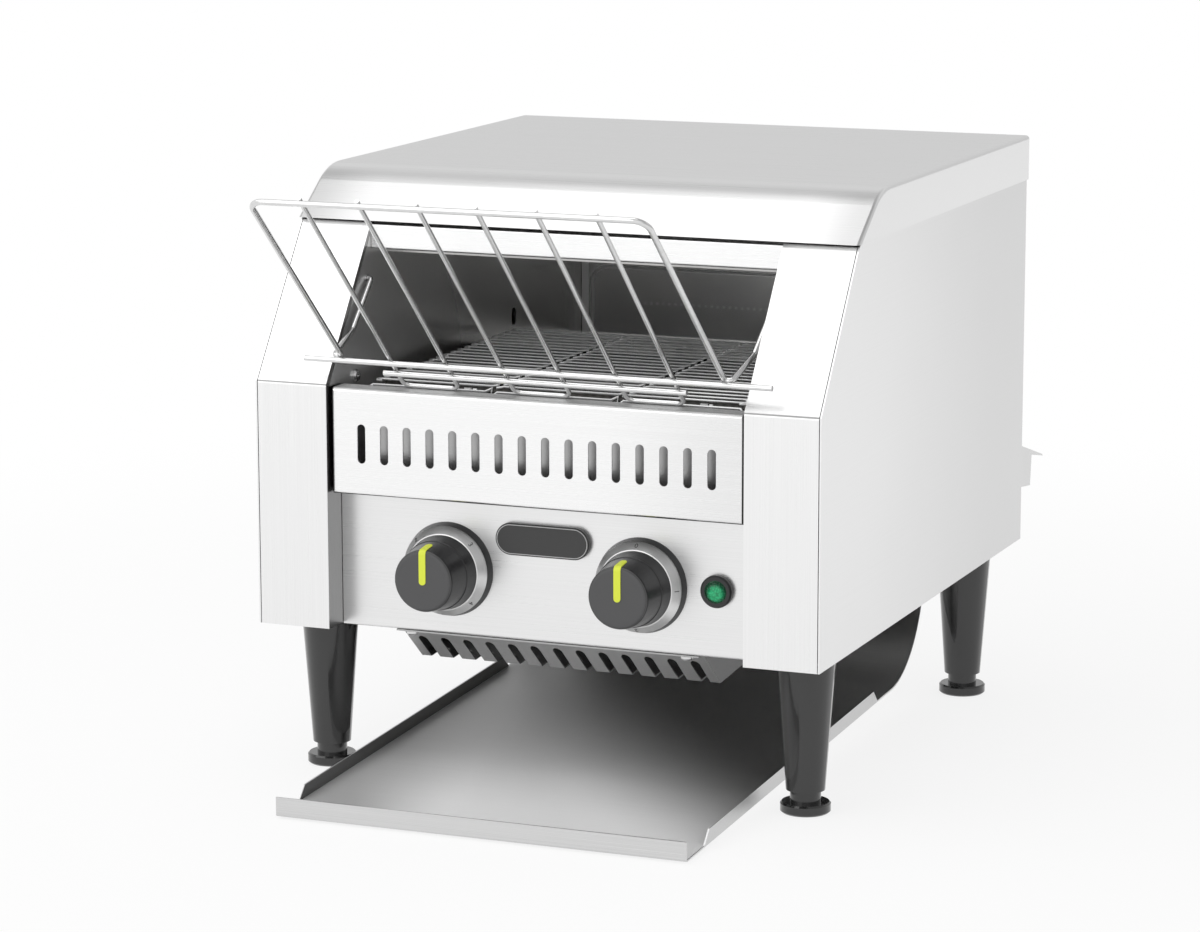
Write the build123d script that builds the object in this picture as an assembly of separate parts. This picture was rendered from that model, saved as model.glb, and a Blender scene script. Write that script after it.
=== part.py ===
from build123d import *
import os
from math import cos, hypot, pi, radians, sin, tan

# Conveyor toaster for a counter top.  Bread is laid on a sloping wire rack, rides through the
# heated chamber on a wire belt, falls behind it and slides forward on the collection tray.
# Millimetres.  X runs to the right as seen from the front, Y to the rear, Z up.  While the
# pieces are made, Y = 0 is the front face of the two posts and Z = 0 the plane of the feet.

# ---------------------------------------------------------------- driving sizes: casing
WIDTH = 368.0              # over the side covers
DEPTH = 420.0              # front faces of the posts to the rear edge of the side covers
BODY_BOTTOM = 98.5
SLOPE_FOOT_Z = 251.5       # where the upright front turns into the slope
SLOPE_TOP_Y = 66.9         # top of the slope, just under the lid
SLOPE_TOP_Z = 343.5
SLOPE_BEND_R = 4.0
SHEET = 1.0
SEAM = 0.3                 # gap between neighbouring sheets
CORNER_SEAM = 0.5          # open joint between a post's face and the side cover
SIDE_BAY = 48.0            # from a side cover's face to the chamber wall
POST_RETURN = 20.0         # depth of a post's inner return, down to the control panel
SLOPE_RETURN = 3.0         # depth of the inner return along the slope

LID_OVERHANG = 1.0
LID_GAP = 1.4              # dark gap between the lid's front edge and the slope's top
LID_RISE = 31.0            # of the lid's top over the slope's top
LID_FRONT_Y = 61.6         # of the lid's sloping face, at the height of the slope's top
LID_SLOPE = 35.0           # degrees
LID_BEND_R = 50.0
LID_EDGE_R = 2.5
LID_REAR = 1.0             # how far the lid reaches past the side covers at the rear
LID_CLEAR = 2.5            # under the lid's sheet, to the inner sheets

HEADER_Y = 67.0
HEADER_H = 16.5
HEADER_FOLD = 12.0

# ---------------------------------------------------------------- front panels and controls
VENT_Y = 4.0               # front face of the slotted panel
VENT_SIDE_GAP = 1.5        # beside the slotted panel
VENT_BOTTOM = 183.5
VENT_TOP = 249.5
VENT_BEND_R = 2.0
SLOT_PITCH = 15.25
SLOT_MARGIN = 10.0         # least sheet left beside the row of slots
SLOT_WIDTH = 5.4
SLOT_BOTTOM = 203.3
SLOT_TOP = 227.7

PANEL_BOTTOM = 97.5
PANEL_TOP = 240.0
PANEL_HEM = 13.0
PANEL_NOTCH_W = 23.0       # corner of the panel that is cut away behind the first slot
PANEL_NOTCH_Z = 196.0

KNOB_SHARE = 0.467         # of the half width of the chamber, from the middle to a knob
KNOB_Z = 138.3
KNOB_BASE_D = 46.5
KNOB_FACE_D = 37.8
KNOB_FACE_Y = -19.5
KNOB_RIM_R = 2.5
KNOB_STEP = 0.5            # shallow step round the knob's side
KNOB_STEP_Y = -1.0
POINTER_W = 4.4
POINTER_PROUD = 0.5
POINTER_BACK = 12.0        # how far the pointer reaches back along the knob's side
DIAL_D = 59.0
DIAL_DISC_T = 5.5          # straight part of the dial, before its sloping face
DIAL_FACE_D = 56.2
DIAL_INNER_D = 47.2
DIAL_T = 10.6
DIAL_HOLE_D = 14.0
SPINDLE_D = 6.0
SPINDLE_IN_KNOB = 22.0
SPINDLE_IN_BODY = 7.0
BUSH_D = 9.0
RUN_FIT = 0.05             # radial clearance of what turns or slides in a bore
KNOB_GAP = 0.4

SPEED_BODY_D = 24.0
SPEED_BODY_L = 12.0
SWITCH_W = 36.0
SWITCH_H = 34.0
SWITCH_L = 38.0

BADGE_Z = 161.0
BADGE_L = 61.5
BADGE_H = 20.0
BADGE_T = 4.0

LAMP_INSET = 23.3          # from the chamber wall to the lamp
LAMP_Z = 139.0
LAMP_BEZEL_D = 20.0
LAMP_BEZEL_T = 4.5
LAMP_LENS_D = 14.0
LAMP_DOME = 3.0
LAMP_BODY_D = 12.0
LAMP_BODY_L = 24.0

# ---------------------------------------------------------------- bay behind the controls
BAY_REAR_Y = 128.0
BAY_TOP = 196.0
COVER_INSET = 36.0         # from the chamber wall to the hood's side
COVER_TOP_Y = 29.5
COVER_LOW_Y = 59.0
COVER_LOW_Z = 72.0
COVER_REAR_Z = 77.0
COVER_BEND_R = 1.5
COVER_SLOT_PITCH = 15.1
COVER_SLOT_W = 6.0
COVER_SLOT_TOP_Z = 90.0
COVER_SLOT_REAR_Y = 74.0
FAN_Y = 84.0
FAN_FRAME = 80.0
FAN_HEIGHT = 25.0
FAN_BORE_D = 75.0
FAN_ROTOR_D = 71.0
FAN_HUB_D = 30.0
FAN_PIN_D = 3.0
FAN_BLADES = 7
FAN_BLADE_PITCH = 38.0     # degrees
FAN_FLOOR = 3.0            # thickness of the struts that carry the rotor's pin

# ---------------------------------------------------------------- chamber and heaters
CHAMBER_REAR_GAP = 9.0     # from the rear wall of the chamber to the rear panel
CHUTE_TOP_Z = 225.0
CHUTE_REACH = 25.0         # how far the chute comes forward
CHUTE_LOW_Z = 125.0
CHAMBER_TOP_RISE = 0.5     # over the slope's top
LEDGE_Z = 118.5
LEDGE_REACH = 26.0
LEDGE_REAR_GAP = 20.0

TUBE_D = 10.0
TUBE_HOLE_GAP = 0.4
TUBE_OUT = 12.0            # of a tube's end past the chamber wall
TUBE_COUNT = 3
UPPER_TUBE_DROP = 11.0     # under the top of the chamber
LOWER_TUBE_Z = 236.0
TUBE_INSET = 26.0          # from the ends of a reflector to the first and last tube
CAP_D = 17.0
CAP_L = 13.0
UPPER_REFLECTOR_FRONT = 88.0
UPPER_REFLECTOR_REAR_GAP = 158.0
UPPER_REFLECTOR_H = 21.0
LOWER_REFLECTOR_FRONT = 64.0
LOWER_REFLECTOR_REAR_GAP = 184.0
LOWER_REFLECTOR_Z = 222.0
LOWER_REFLECTOR_LIP = 242.0

# ---------------------------------------------------------------- belt and its drive
BELT_FRONT_Y = 25.0
BELT_REAR_GAP = 145.0      # from the belt's rear end to the rear panel
BELT_TOP = 250.0
BELT_SIDE_GAP = 13.0       # from the belt's edge to the chamber wall
BELT_WHEEL_R = 17.5        # centre line of the belt round a shaft
BELT_ROD_D = 2.0
BELT_ROD_PITCH = 9.0
BELT_LINK_INNER = 41.5     # of the inner rows of links from the middle
BELT_LINK_W = 3.0
BELT_LINK_T = 1.4
TIP_GAP = 0.3              # between a sprocket's tips and the rods or rollers it drives
BELT_SPROCKET_INSET = 28.0 # from the belt's edge to the outer sprockets
BELT_SPROCKET_INNER = 60.0
BELT_SPROCKET_W = 5.0
BELT_SPROCKET_TEETH = 12
SHAFT_D = 10.0
SHAFT_STUB = 5.0           # how far a shaft reaches past its bush
BUSH_BARREL_D = 16.0
BUSH_FLANGE_D = 24.0
BUSH_FLANGE_T = 2.5
BUSH_INSIDE = 1.5

CHAIN_OUT = 9.8            # from the chamber wall's face to the plane of the drive chain
CHAIN_PITCH = 6.35
CHAIN_ROLLER_D = 3.3
CHAIN_ROLLER_W = 3.2
CHAIN_PLATE_T = 0.8
CHAIN_PLATE_H = 5.0
WHEEL_TEETH = 20
PINION_TEETH = 10
TOOTH_W = 2.8
WHEEL_HUB_D = 18.0
MOTOR_BEHIND = 25.0        # behind the belt's rear end
MOTOR_Z = 165.0
MOTOR_SHAFT_D = 8.0
GEARBOX_D = 58.0
GEARBOX_L = 14.0
MOTOR_D = 49.0
MOTOR_L = 14.0
BRACKET_OUT = 15.0
BRACKET_T = 1.5
BRACKET_HALF_Y = 39.0
BRACKET_HALF_Z = 29.0
BRACKET_TOP_Z = 188.0
BRACKET_FOOT = 9.0

# ---------------------------------------------------------------- electrics at the left side
BOARD_L = 86.0
BOARD_REAR_GAP = 154.0
BOARD_Z = (132.0, 200.0)
BOARD_T = 1.6
BOARD_STAND = 5.0
BOARD_STAND_D = 6.0
BOARD_STAND_INSET = 6.0
TRANSFORMER = (16.0, 26.0, 20.0)       # off the board, along it, and its height
RELAY = (10.0, 30.0, 12.0)
CHIP_MARGIN = 8.0
CAPACITOR_D = 10.0
CAPACITOR_L = 14.0
CAPACITOR_PITCH = 20.0
TERMINAL_L = 48.0
TERMINAL_REAR_GAP = 76.0
TERMINAL_W = 22.0
TERMINAL_H = 20.0
TERMINAL_SCREW_D = 6.0
REAR_PART_INSET = 24.0     # from a side cover's face to the gland, terminals and louvres
GLAND_Z = 116.0
GLAND_BORE_D = 8.0
GLAND_THREAD_D = 15.6
GLAND_HEX = 20.0
GLAND_NUT_T = 6.0
GLAND_OUT = 12.0

# ---------------------------------------------------------------- rear spacers
SPACER_REACH = 55.0        # from the rear panel to the tip of the sloping plate
SPACER_TOP_Z = 163.0
SPACER_DROP = 15.5
SPACER_WEB_REACH = 28.0
SPACER_WEB_BOTTOM = 131.0
SPACER_W = 33.0
LOUVRES = 6
LOUVRE_PITCH = 14.0
LOUVRE_W = 26.0
LOUVRE_H = 4.0
LOUVRE_Z = 262.0

# ---------------------------------------------------------------- legs and feet
LEG_INSET_X = 25.0         # from a side cover's face to the leg's axis
LEG_INSET_Y = 49.0         # from the front and from the rear
PAN_FLANGE_H = 12.0
LEG_TOP_D = 35.6
LEG_FLANGE_D = 38.0
LEG_FLANGE_T = 4.0
LEG_LOW_D = 24.0
LEG_LOW_Z = 14.0
LEG_STUD_D = 8.0
LEG_STUD_TOP = 107.0
WELD_NUT_D = 15.0
FOOT_D = 31.0
FOOT_T = 6.5
FOOT_NECK_D = 19.0
FOOT_STUD_D = 8.0
FOOT_TRAVEL = 20.0         # how far a foot screws out
FOOT_STUD_GRIP = 18.0      # of the stud left in the leg when it is screwed out
FOOT_STOP = 0.3            # between the foot's collar and the leg when screwed fully in
FOOT_EDGE_R = 1.0

# ---------------------------------------------------------------- wire feed rack
RACK_D = 3.6
RACK_WIRE_D = 3.0
RACK_TOP_Y = -124.1
RACK_TOP_Z = 379.3
RACK_TOP_INSET = 12.7      # from the chamber wall to the frame wire's axis, at the top
RACK_CORNER_R = 9.0
RACK_REST_Y = -4.0         # the long bar near the lower end, clear of both slopes
RACK_REST_Z = 268.1
RACK_REST_LEFT = 12.0      # how far that bar reaches past the chamber walls
RACK_REST_RIGHT = 19.0
RACK_LOW_INSET = 6.8       # of the frame wire's lower corner from the chamber wall
RACK_LOW_RUN = 5.0         # short run of the frame wire along the long bar
RACK_LOW_R = 2.4
RACK_CROSS_INSET = 37.5
RACK_CROSS_DROP = 11.0     # from the long bar down to the short one, along the wires
RACK_WIRE_MARGIN = 6.7     # of the short bar past the outer pair of wires
RACK_WIRE_PAIRS = 3
RACK_WIRE_TOP = 0.6        # how far the inner wires stand past the top bar
RACK_SIT = 0.3             # of the inner wires' bends over the slotted panel they rest on
RACK_WIRE_BEND_R = 5.0
WELD = 0.02
HOOK_Y = 61.5
HOOK_DROP = 34.2           # under the slope's top
HOOK_KNEE_INSET = 4.5      # from the chamber wall
HOOK_KNEE_Y = 29.6
HOOK_KNEE_DROP = 27.6      # under the hook
HOOK_TOP_INSET = 2.6
HOOK_THROUGH = 6.0
HOOK_HOLE_GAP = 0.3

# ---------------------------------------------------------------- collection tray
TRAY_SIDE_GAP = 3.5        # to the chamber wall
TRAY_FRONT_Y = -84.0
TRAY_CLEAR = 0.8           # front lip above the counter
TRAY_LIP_Z = 13.0
TRAY_RISE = 2.2            # degrees
TRAY_CORNER_REAR_GAP = 56.0            # from the corner under the back to the rear panel
TRAY_CORNER_R = 75.0
TRAY_BACK_LEAN = 6.0
TRAY_HANG_REACH = 14.0     # of the hanging lip over the ledge
TRAY_SIDE_H = 9.0
TRAY_SIDE_FRONT = -54.0
TRAY_SIDE_REAR_GAP = 152.0
TRAY_CHAMFER = 8.0
TRAY_BEND_R = 1.5

SCREW_D = 4.0
SCREW_HEAD_D = 8.0
SCREW_HEAD_T = 2.4
SCREW_HOLE_GAP = 0.3
WALL_SCREW_Y = 41.0
WALL_SCREW_Z = 251.0
COVER_SCREW_INSET = 9.0    # from the hood's side
COVER_SCREW_IN = 4.8       # behind the control panel's face
REAR_SCREW_INSET = 8.0
REAR_SCREW_Z = (112.0, 230.0)
REAR_SCREW_DROP = 8.5      # of the top screw under the slope's top
SPACER_SCREW_Z = 146.0
KEYHOLE_REAR_GAP = 129.3
KEYHOLE_Z = 252.5
KEYHOLE_D = 7.0
KEYHOLE_L = 12.0

# ---------------------------------------------------------------- worked out from the above
HALF = WIDTH / 2
COVER_IN = HALF - SHEET                       # inner face of a side cover
CHAMBER_HALF = HALF - SIDE_BAY                # half the clear width between the chamber walls
LID_TOP = SLOPE_TOP_Z + LID_RISE
SLOPE_LEAN = SLOPE_TOP_Y / (SLOPE_TOP_Z - SLOPE_FOOT_Z)
SLOPE_LEN = hypot(SLOPE_TOP_Y, SLOPE_TOP_Z - SLOPE_FOOT_Z)
SLOPE_IN = (SLOPE_TOP_Z - SLOPE_FOOT_Z) / SLOPE_LEN, -SLOPE_TOP_Y / SLOPE_LEN
INNER_TOP = LID_TOP - SHEET - LID_CLEAR       # top edge of the sheets under the lid
LID_CORNER_Y = LID_FRONT_Y + (LID_TOP - SLOPE_TOP_Z) / tan(radians(LID_SLOPE))
INNER_CORNER_Y = LID_CORNER_Y + LID_BEND_R / 6
FOOT_STUD_TOP = LEG_LOW_Z + FOOT_TRAVEL + FOOT_STUD_GRIP
PANEL_Y = POST_RETURN                         # front face of the control panel
SHAFT_Z = BELT_TOP - BELT_ROD_D / 2 - BELT_WHEEL_R
IDLER_Y = BELT_FRONT_Y + BELT_ROD_D / 2 + BELT_WHEEL_R
BELT_REAR_Y = DEPTH - BELT_REAR_GAP
DRIVE_Y = BELT_REAR_Y - BELT_ROD_D / 2 - BELT_WHEEL_R
MOTOR_Y = BELT_REAR_Y + MOTOR_BEHIND
BAY_FLOOR = PANEL_BOTTOM + SHEET + SEAM
WALL_OUT = CHAMBER_HALF + SHEET
VENT_HALF = CHAMBER_HALF - VENT_SIDE_GAP
SLOT_COUNT = int((2 * VENT_HALF - 2 * SLOT_MARGIN) / SLOT_PITCH)
KNOB_X = CHAMBER_HALF * KNOB_SHARE
LAMP_X = CHAMBER_HALF - LAMP_INSET
COVER_HALF = CHAMBER_HALF - COVER_INSET
COVER_SLOTS = int((2 * COVER_HALF - 2 * SHEET) / COVER_SLOT_PITCH)
CHAMBER_REAR_Y = DEPTH - CHAMBER_REAR_GAP
CHAMBER_TOP = SLOPE_TOP_Z + CHAMBER_TOP_RISE
LEDGE_REAR_Y = DEPTH - LEDGE_REAR_GAP
UPPER_REFLECTOR_Y = UPPER_REFLECTOR_FRONT, DEPTH - UPPER_REFLECTOR_REAR_GAP
LOWER_REFLECTOR_Y = LOWER_REFLECTOR_FRONT, DEPTH - LOWER_REFLECTOR_REAR_GAP
UPPER_TUBE_Z = CHAMBER_TOP - UPPER_TUBE_DROP
TUBE_END = CHAMBER_HALF + TUBE_OUT
BELT_HALF = CHAMBER_HALF - BELT_SIDE_GAP
BELT_LINK_OUTER = BELT_HALF - BELT_LINK_W / 2
BELT_SPROCKET_OUTER = BELT_HALF - BELT_SPROCKET_INSET
CHAIN_X = CHAMBER_HALF + CHAIN_OUT
BRACKET_X = CHAMBER_HALF + BRACKET_OUT
REAR_PART_X = HALF - REAR_PART_INSET
BOARD_Y = DEPTH - BOARD_REAR_GAP - BOARD_L, DEPTH - BOARD_REAR_GAP
TERMINAL_Y = DEPTH - TERMINAL_REAR_GAP - TERMINAL_L, DEPTH - TERMINAL_REAR_GAP
LEG_X = HALF - LEG_INSET_X
LEG_Y = LEG_INSET_Y, DEPTH - LEG_INSET_Y
TRAY_HALF = CHAMBER_HALF - TRAY_SIDE_GAP
TRAY_CORNER_Y = DEPTH - TRAY_CORNER_REAR_GAP
TRAY_BACK_Y = TRAY_CORNER_Y + TRAY_BACK_LEAN
RACK_LOW_HALF = CHAMBER_HALF - RACK_LOW_INSET
RACK_CROSS_HALF = CHAMBER_HALF - RACK_CROSS_INSET
RACK_WIRE_PITCH = 2 * (RACK_CROSS_HALF - RACK_WIRE_MARGIN) / (2 * RACK_WIRE_PAIRS - 1)
HOOK_Z = SLOPE_TOP_Z - HOOK_DROP
SPACER_TIP_Y = DEPTH + SPACER_REACH
RACK_TIP_Y = RACK_TOP_Y - RACK_D / 2
CENTRE_Y = (SPACER_TIP_Y + RACK_TIP_Y) / 2    # middle of the whole length, the origin's Y

# Screws at the right side, mirrored at the left: (place under the head, way in, length).
WALL_SCREWS = [((CHAMBER_HALF - WELD, WALL_SCREW_Y, WALL_SCREW_Z), (1, 0, 0), 8.0)]
COVER_SCREWS = [((COVER_HALF - COVER_SCREW_INSET, PANEL_Y + COVER_SCREW_IN,
                  PANEL_BOTTOM - SEAM - SHEET - WELD), (0, 0, 1), 6.0)]
REAR_SCREWS = [((COVER_IN - REAR_SCREW_INSET, DEPTH + WELD, z), (0, -1, 0), 8.0)
               for z in (*REAR_SCREW_Z, SLOPE_TOP_Z - REAR_SCREW_DROP)]
SPACER_SCREWS = [((REAR_PART_X, DEPTH + SHEET + WELD, SPACER_SCREW_Z), (0, -1, 0), 8.0)]

NODES = {}


def keep(name, *pieces):
    """File the closed solids of one named sub-part."""
    NODES[name] = [solid for piece in pieces for solid in piece.solids()]


def block(xs, ys, zs):
    """A box from pairs of lowest and highest values."""
    sizes = [high - low for low, high in (xs, ys, zs)]
    return Pos(xs[0], ys[0], zs[0]) * Box(*sizes, align=(Align.MIN,) * 3)


def bar(start, end, diameter):
    """A round bar between two points."""
    way = Vector(*end) - Vector(*start)
    return extrude(Plane(origin=start, z_dir=way) * Circle(diameter / 2), way.length)


def side_plane(x):
    """A sketch plane facing +X whose own x is Y and whose own y is Z."""
    return Plane(origin=(x, 0, 0), x_dir=(0, 1, 0), z_dir=(1, 0, 0))


def prism(points, xs):
    """A flat sheet: an outline in Y and Z, given its thickness along X."""
    return extrude(side_plane(xs[0]) * make_face(Polyline(*points, close=True)), xs[1] - xs[0])


def folded(points, xs, radii, side=Side.LEFT, thickness=SHEET):
    """A folded sheet: a line in Y and Z, thickened to one side and run along X."""
    line = FilletPolyline(*points, radius=radii) if radii else Polyline(*points)
    return extrude(side_plane(xs[0]) * make_face(offset(line, thickness, side=side)),
                   xs[1] - xs[0])


def wire_form(points, radii, diameter):
    """Round wire bent along straight runs and tangent arcs."""
    path = FilletPolyline(*points, radius=radii)
    return sweep(Plane(origin=path @ 0, z_dir=path % 0) * Circle(diameter / 2), path=path)


def both_sides(piece):
    """A piece at the right side, and its mirror image at the left."""
    return piece, mirror(piece, Plane.YZ)


def turned(points, centre, axis=(0, 1, 0), across=(1, 0, 0)):
    """A solid of revolution; the points are (radius, distance along the axis)."""
    plane = Plane(origin=centre, x_dir=across, z_dir=Vector(*across).cross(Vector(*axis)))
    face = plane * make_face(Polyline(*points, close=True))
    return revolve(face, Axis(centre, axis), 360)


def bored(piece, table):
    """A piece with the clearance holes for a table of screws, at both sides."""
    for spot, way, length in table:
        tip = Vector(*spot) + Vector(*way) * (length + SEAM)
        for hole in both_sides(bar(spot, tuple(tip), SCREW_D + 2 * SCREW_HOLE_GAP)):
            piece -= hole
    return piece


def slope_y(z):
    """The outer face of the slope at a height."""
    return (z - SLOPE_FOOT_Z) * SLOPE_LEAN


def slot_cutter(x, zs, width, ys):
    """A round-ended upright slot through a sheet that faces the front."""
    plane = Plane(origin=(x, ys[0], sum(zs) / 2), x_dir=(0, 0, 1), z_dir=(0, 1, 0))
    return extrude(plane * SlotOverall(zs[1] - zs[0], width), ys[1] - ys[0])


# ================================================================ casing

def side_cover():
    """Outer side sheet: upright front edge, slope, and a top edge inside the lid."""
    outline = [(0, BODY_BOTTOM), (0, SLOPE_FOOT_Z), (SLOPE_TOP_Y, SLOPE_TOP_Z),
               (INNER_CORNER_Y, INNER_TOP), (DEPTH, INNER_TOP), (DEPTH, BODY_BOTTOM)]
    return prism(outline, (COVER_IN, HALF))


def front_post():
    """Post and slope bent from one sheet, with an inner return down to the control panel."""
    face = folded([(0, BODY_BOTTOM), (0, SLOPE_FOOT_Z), (SLOPE_TOP_Y, SLOPE_TOP_Z)],
                  (CHAMBER_HALF, COVER_IN - CORNER_SEAM), SLOPE_BEND_R, Side.RIGHT)
    inner_z = VENT_TOP
    return_y = slope_y(inner_z) + SLOPE_RETURN / SLOPE_IN[0]
    inner = prism([(SHEET / 2, BODY_BOTTOM), (SHEET / 2, SLOPE_FOOT_Z),
                   (SLOPE_TOP_Y, SLOPE_TOP_Z),
                   (SLOPE_TOP_Y + SLOPE_RETURN * SLOPE_IN[0],
                    SLOPE_TOP_Z + SLOPE_RETURN * SLOPE_IN[1]),
                   (max(return_y, SHEET * 2), inner_z), (POST_RETURN, inner_z),
                   (POST_RETURN, BODY_BOTTOM)],
                  (CHAMBER_HALF, WALL_OUT))
    return face + inner


def lid_outline(inset, bottom):
    """The lid's side view, moved in by a sheet's thickness where inset is set."""
    slope = radians(LID_SLOPE)
    top = LID_TOP - inset
    foot_y = LID_FRONT_Y + inset / sin(slope)
    corner_y = foot_y + (top - SLOPE_TOP_Z) / tan(slope)
    start_y = foot_y - (SLOPE_TOP_Z - bottom) / tan(slope)
    rear_y = DEPTH + LID_REAR - inset
    line = FilletPolyline((start_y, bottom), (corner_y, top), (rear_y, top), (rear_y, bottom),
                          radius=[LID_BEND_R - inset, 0])
    return make_face(Wire(line.edges() + [Line((rear_y, bottom), (start_y, bottom)).edge()]))


def lid():
    """Top cover: sheet with side skirts, a rear skirt and a wide front bend."""
    half = HALF + LID_OVERHANG
    outer = extrude(side_plane(-half) * lid_outline(0, SLOPE_TOP_Z + LID_GAP), 2 * half)
    along = [e for e in outer.edges() if e.center().Z > SLOPE_TOP_Z + LID_GAP + SHEET
             and abs(abs(e.center().X) - half) < SHEET / 2 and e.center().Y < DEPTH]
    outer = fillet(along, LID_EDGE_R)
    inner_half = half - SHEET
    inner = extrude(side_plane(-inner_half) * lid_outline(SHEET, SLOPE_TOP_Z - SHEET),
                    2 * inner_half)
    return outer - inner


def header_strip():
    """Strip across the top of the opening, folded back above and below."""
    top = SLOPE_TOP_Z - 2 * SEAM
    bottom = SLOPE_TOP_Z - HEADER_H
    half = CHAMBER_HALF - SEAM
    return folded([(HEADER_Y + HEADER_FOLD / 2, bottom), (HEADER_Y, bottom),
                   (HEADER_Y, top), (HEADER_Y + HEADER_FOLD, top)],
                  (-half, half), SHEET * 1.5, Side.RIGHT)


def rear_panel():
    """Rear sheet with louvre slots at both sides and the hole for the cable gland."""
    half = COVER_IN - SEAM
    panel = block((-half, half), (DEPTH - SHEET, DEPTH), (BODY_BOTTOM, INNER_TOP))
    for sign in (-1, 1):
        for i in range(LOUVRES):
            z = LOUVRE_Z + i * LOUVRE_PITCH
            plane = Plane(origin=(sign * REAR_PART_X, DEPTH - 2 * SHEET, z), x_dir=(1, 0, 0),
                          z_dir=(0, 1, 0))
            panel -= extrude(plane * SlotOverall(LOUVRE_W, LOUVRE_H), 3 * SHEET)
    panel -= bar((-REAR_PART_X, DEPTH - 2 * SHEET, GLAND_Z),
                 (-REAR_PART_X, DEPTH + SHEET, GLAND_Z),
                 GLAND_THREAD_D + 2 * SCREW_HOLE_GAP)
    return bored(panel, REAR_SCREWS + SPACER_SCREWS)


def base_pan():
    """Floor of a side compartment, with the weld nuts that take the legs."""
    pan = block((WALL_OUT + SEAM, COVER_IN - SEAM), (POST_RETURN + SEAM, DEPTH - SHEET - SEAM),
                (BODY_BOTTOM, BODY_BOTTOM + SHEET))
    pan += block((COVER_IN - SEAM - SHEET, COVER_IN - SEAM),
                 (POST_RETURN + SEAM, DEPTH - SHEET - SEAM), (BODY_BOTTOM, BODY_BOTTOM + PAN_FLANGE_H))
    for y in LEG_Y:
        pan += bar((LEG_X, y, BODY_BOTTOM + SHEET), (LEG_X, y, LEG_STUD_TOP - SHEET), WELD_NUT_D)
        pan -= bar((LEG_X, y, BODY_BOTTOM - SHEET), (LEG_X, y, LEG_STUD_TOP),
                   LEG_STUD_D + 2 * RUN_FIT)
    return pan


def rear_spacer():
    """Stand-off that keeps the rear clear of a wall: back flange, web and a sloping plate."""
    outer = COVER_IN
    inner = COVER_IN - SPACER_W
    web_share = SPACER_WEB_REACH / SPACER_REACH
    inset = SHEET * hypot(SPACER_REACH, SPACER_DROP) / SPACER_REACH
    plate = prism([(DEPTH, SPACER_TOP_Z), (SPACER_TIP_Y, SPACER_TOP_Z - SPACER_DROP),
                   (SPACER_TIP_Y, SPACER_TOP_Z - SPACER_DROP - inset),
                   (DEPTH, SPACER_TOP_Z - inset)], (inner, outer))
    web = prism([(DEPTH, SPACER_TOP_Z - inset / 2),
                 (DEPTH + SPACER_WEB_REACH, SPACER_TOP_Z - inset / 2 - SPACER_DROP * web_share),
                 (DEPTH + SPACER_WEB_REACH - 3, SPACER_WEB_BOTTOM),
                 (DEPTH, SPACER_WEB_BOTTOM + 3)], (outer - SHEET, outer))
    flange = block((inner, outer), (DEPTH, DEPTH + SHEET),
                   (SPACER_WEB_BOTTOM + 3, SPACER_TOP_Z - inset / 2))
    return bored(plate + web + flange, SPACER_SCREWS)


# ================================================================ front panels

def front_vent_panel():
    """Box-folded panel with a row of round-ended slots, standing in front of the belt."""
    back = PANEL_Y - SEAM
    shell = block((-VENT_HALF, VENT_HALF), (VENT_Y, back), (VENT_BOTTOM, VENT_TOP))
    shell = fillet([e for e in shell.edges() if abs(e.center().Y - VENT_Y) < SEAM], VENT_BEND_R)
    shell -= block((-VENT_HALF + SHEET, VENT_HALF - SHEET), (VENT_Y + SHEET, back + SHEET),
                   (VENT_BOTTOM + SHEET, VENT_TOP - SHEET))
    first = -(SLOT_COUNT - 1) * SLOT_PITCH / 2
    for i in range(SLOT_COUNT):
        shell -= slot_cutter(first + i * SLOT_PITCH, (SLOT_BOTTOM, SLOT_TOP), SLOT_WIDTH,
                             (VENT_Y - SHEET, VENT_Y + 2 * SHEET))
    return shell


def control_panel():
    """Front panel that carries the controls; its lower edge is folded back."""
    half = CHAMBER_HALF - SEAM
    panel = folded([(PANEL_Y, PANEL_TOP), (PANEL_Y, PANEL_BOTTOM),
                    (PANEL_Y + PANEL_HEM, PANEL_BOTTOM)], (-half, half), SHEET * 1.5)
    through = (PANEL_Y - SHEET, PANEL_Y + 2 * SHEET)
    for x in (-KNOB_X, KNOB_X):
        panel -= bar((x, through[0], KNOB_Z), (x, through[1], KNOB_Z),
                     BUSH_D + 2 * SCREW_HOLE_GAP)
    panel -= bar((LAMP_X, through[0], LAMP_Z), (LAMP_X, through[1], LAMP_Z),
                 LAMP_BODY_D + 2 * SCREW_HOLE_GAP)
    panel -= block((-half - SHEET, -half + PANEL_NOTCH_W), through,
                   (PANEL_NOTCH_Z, PANEL_TOP + SHEET))
    return bored(panel, COVER_SCREWS)


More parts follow.
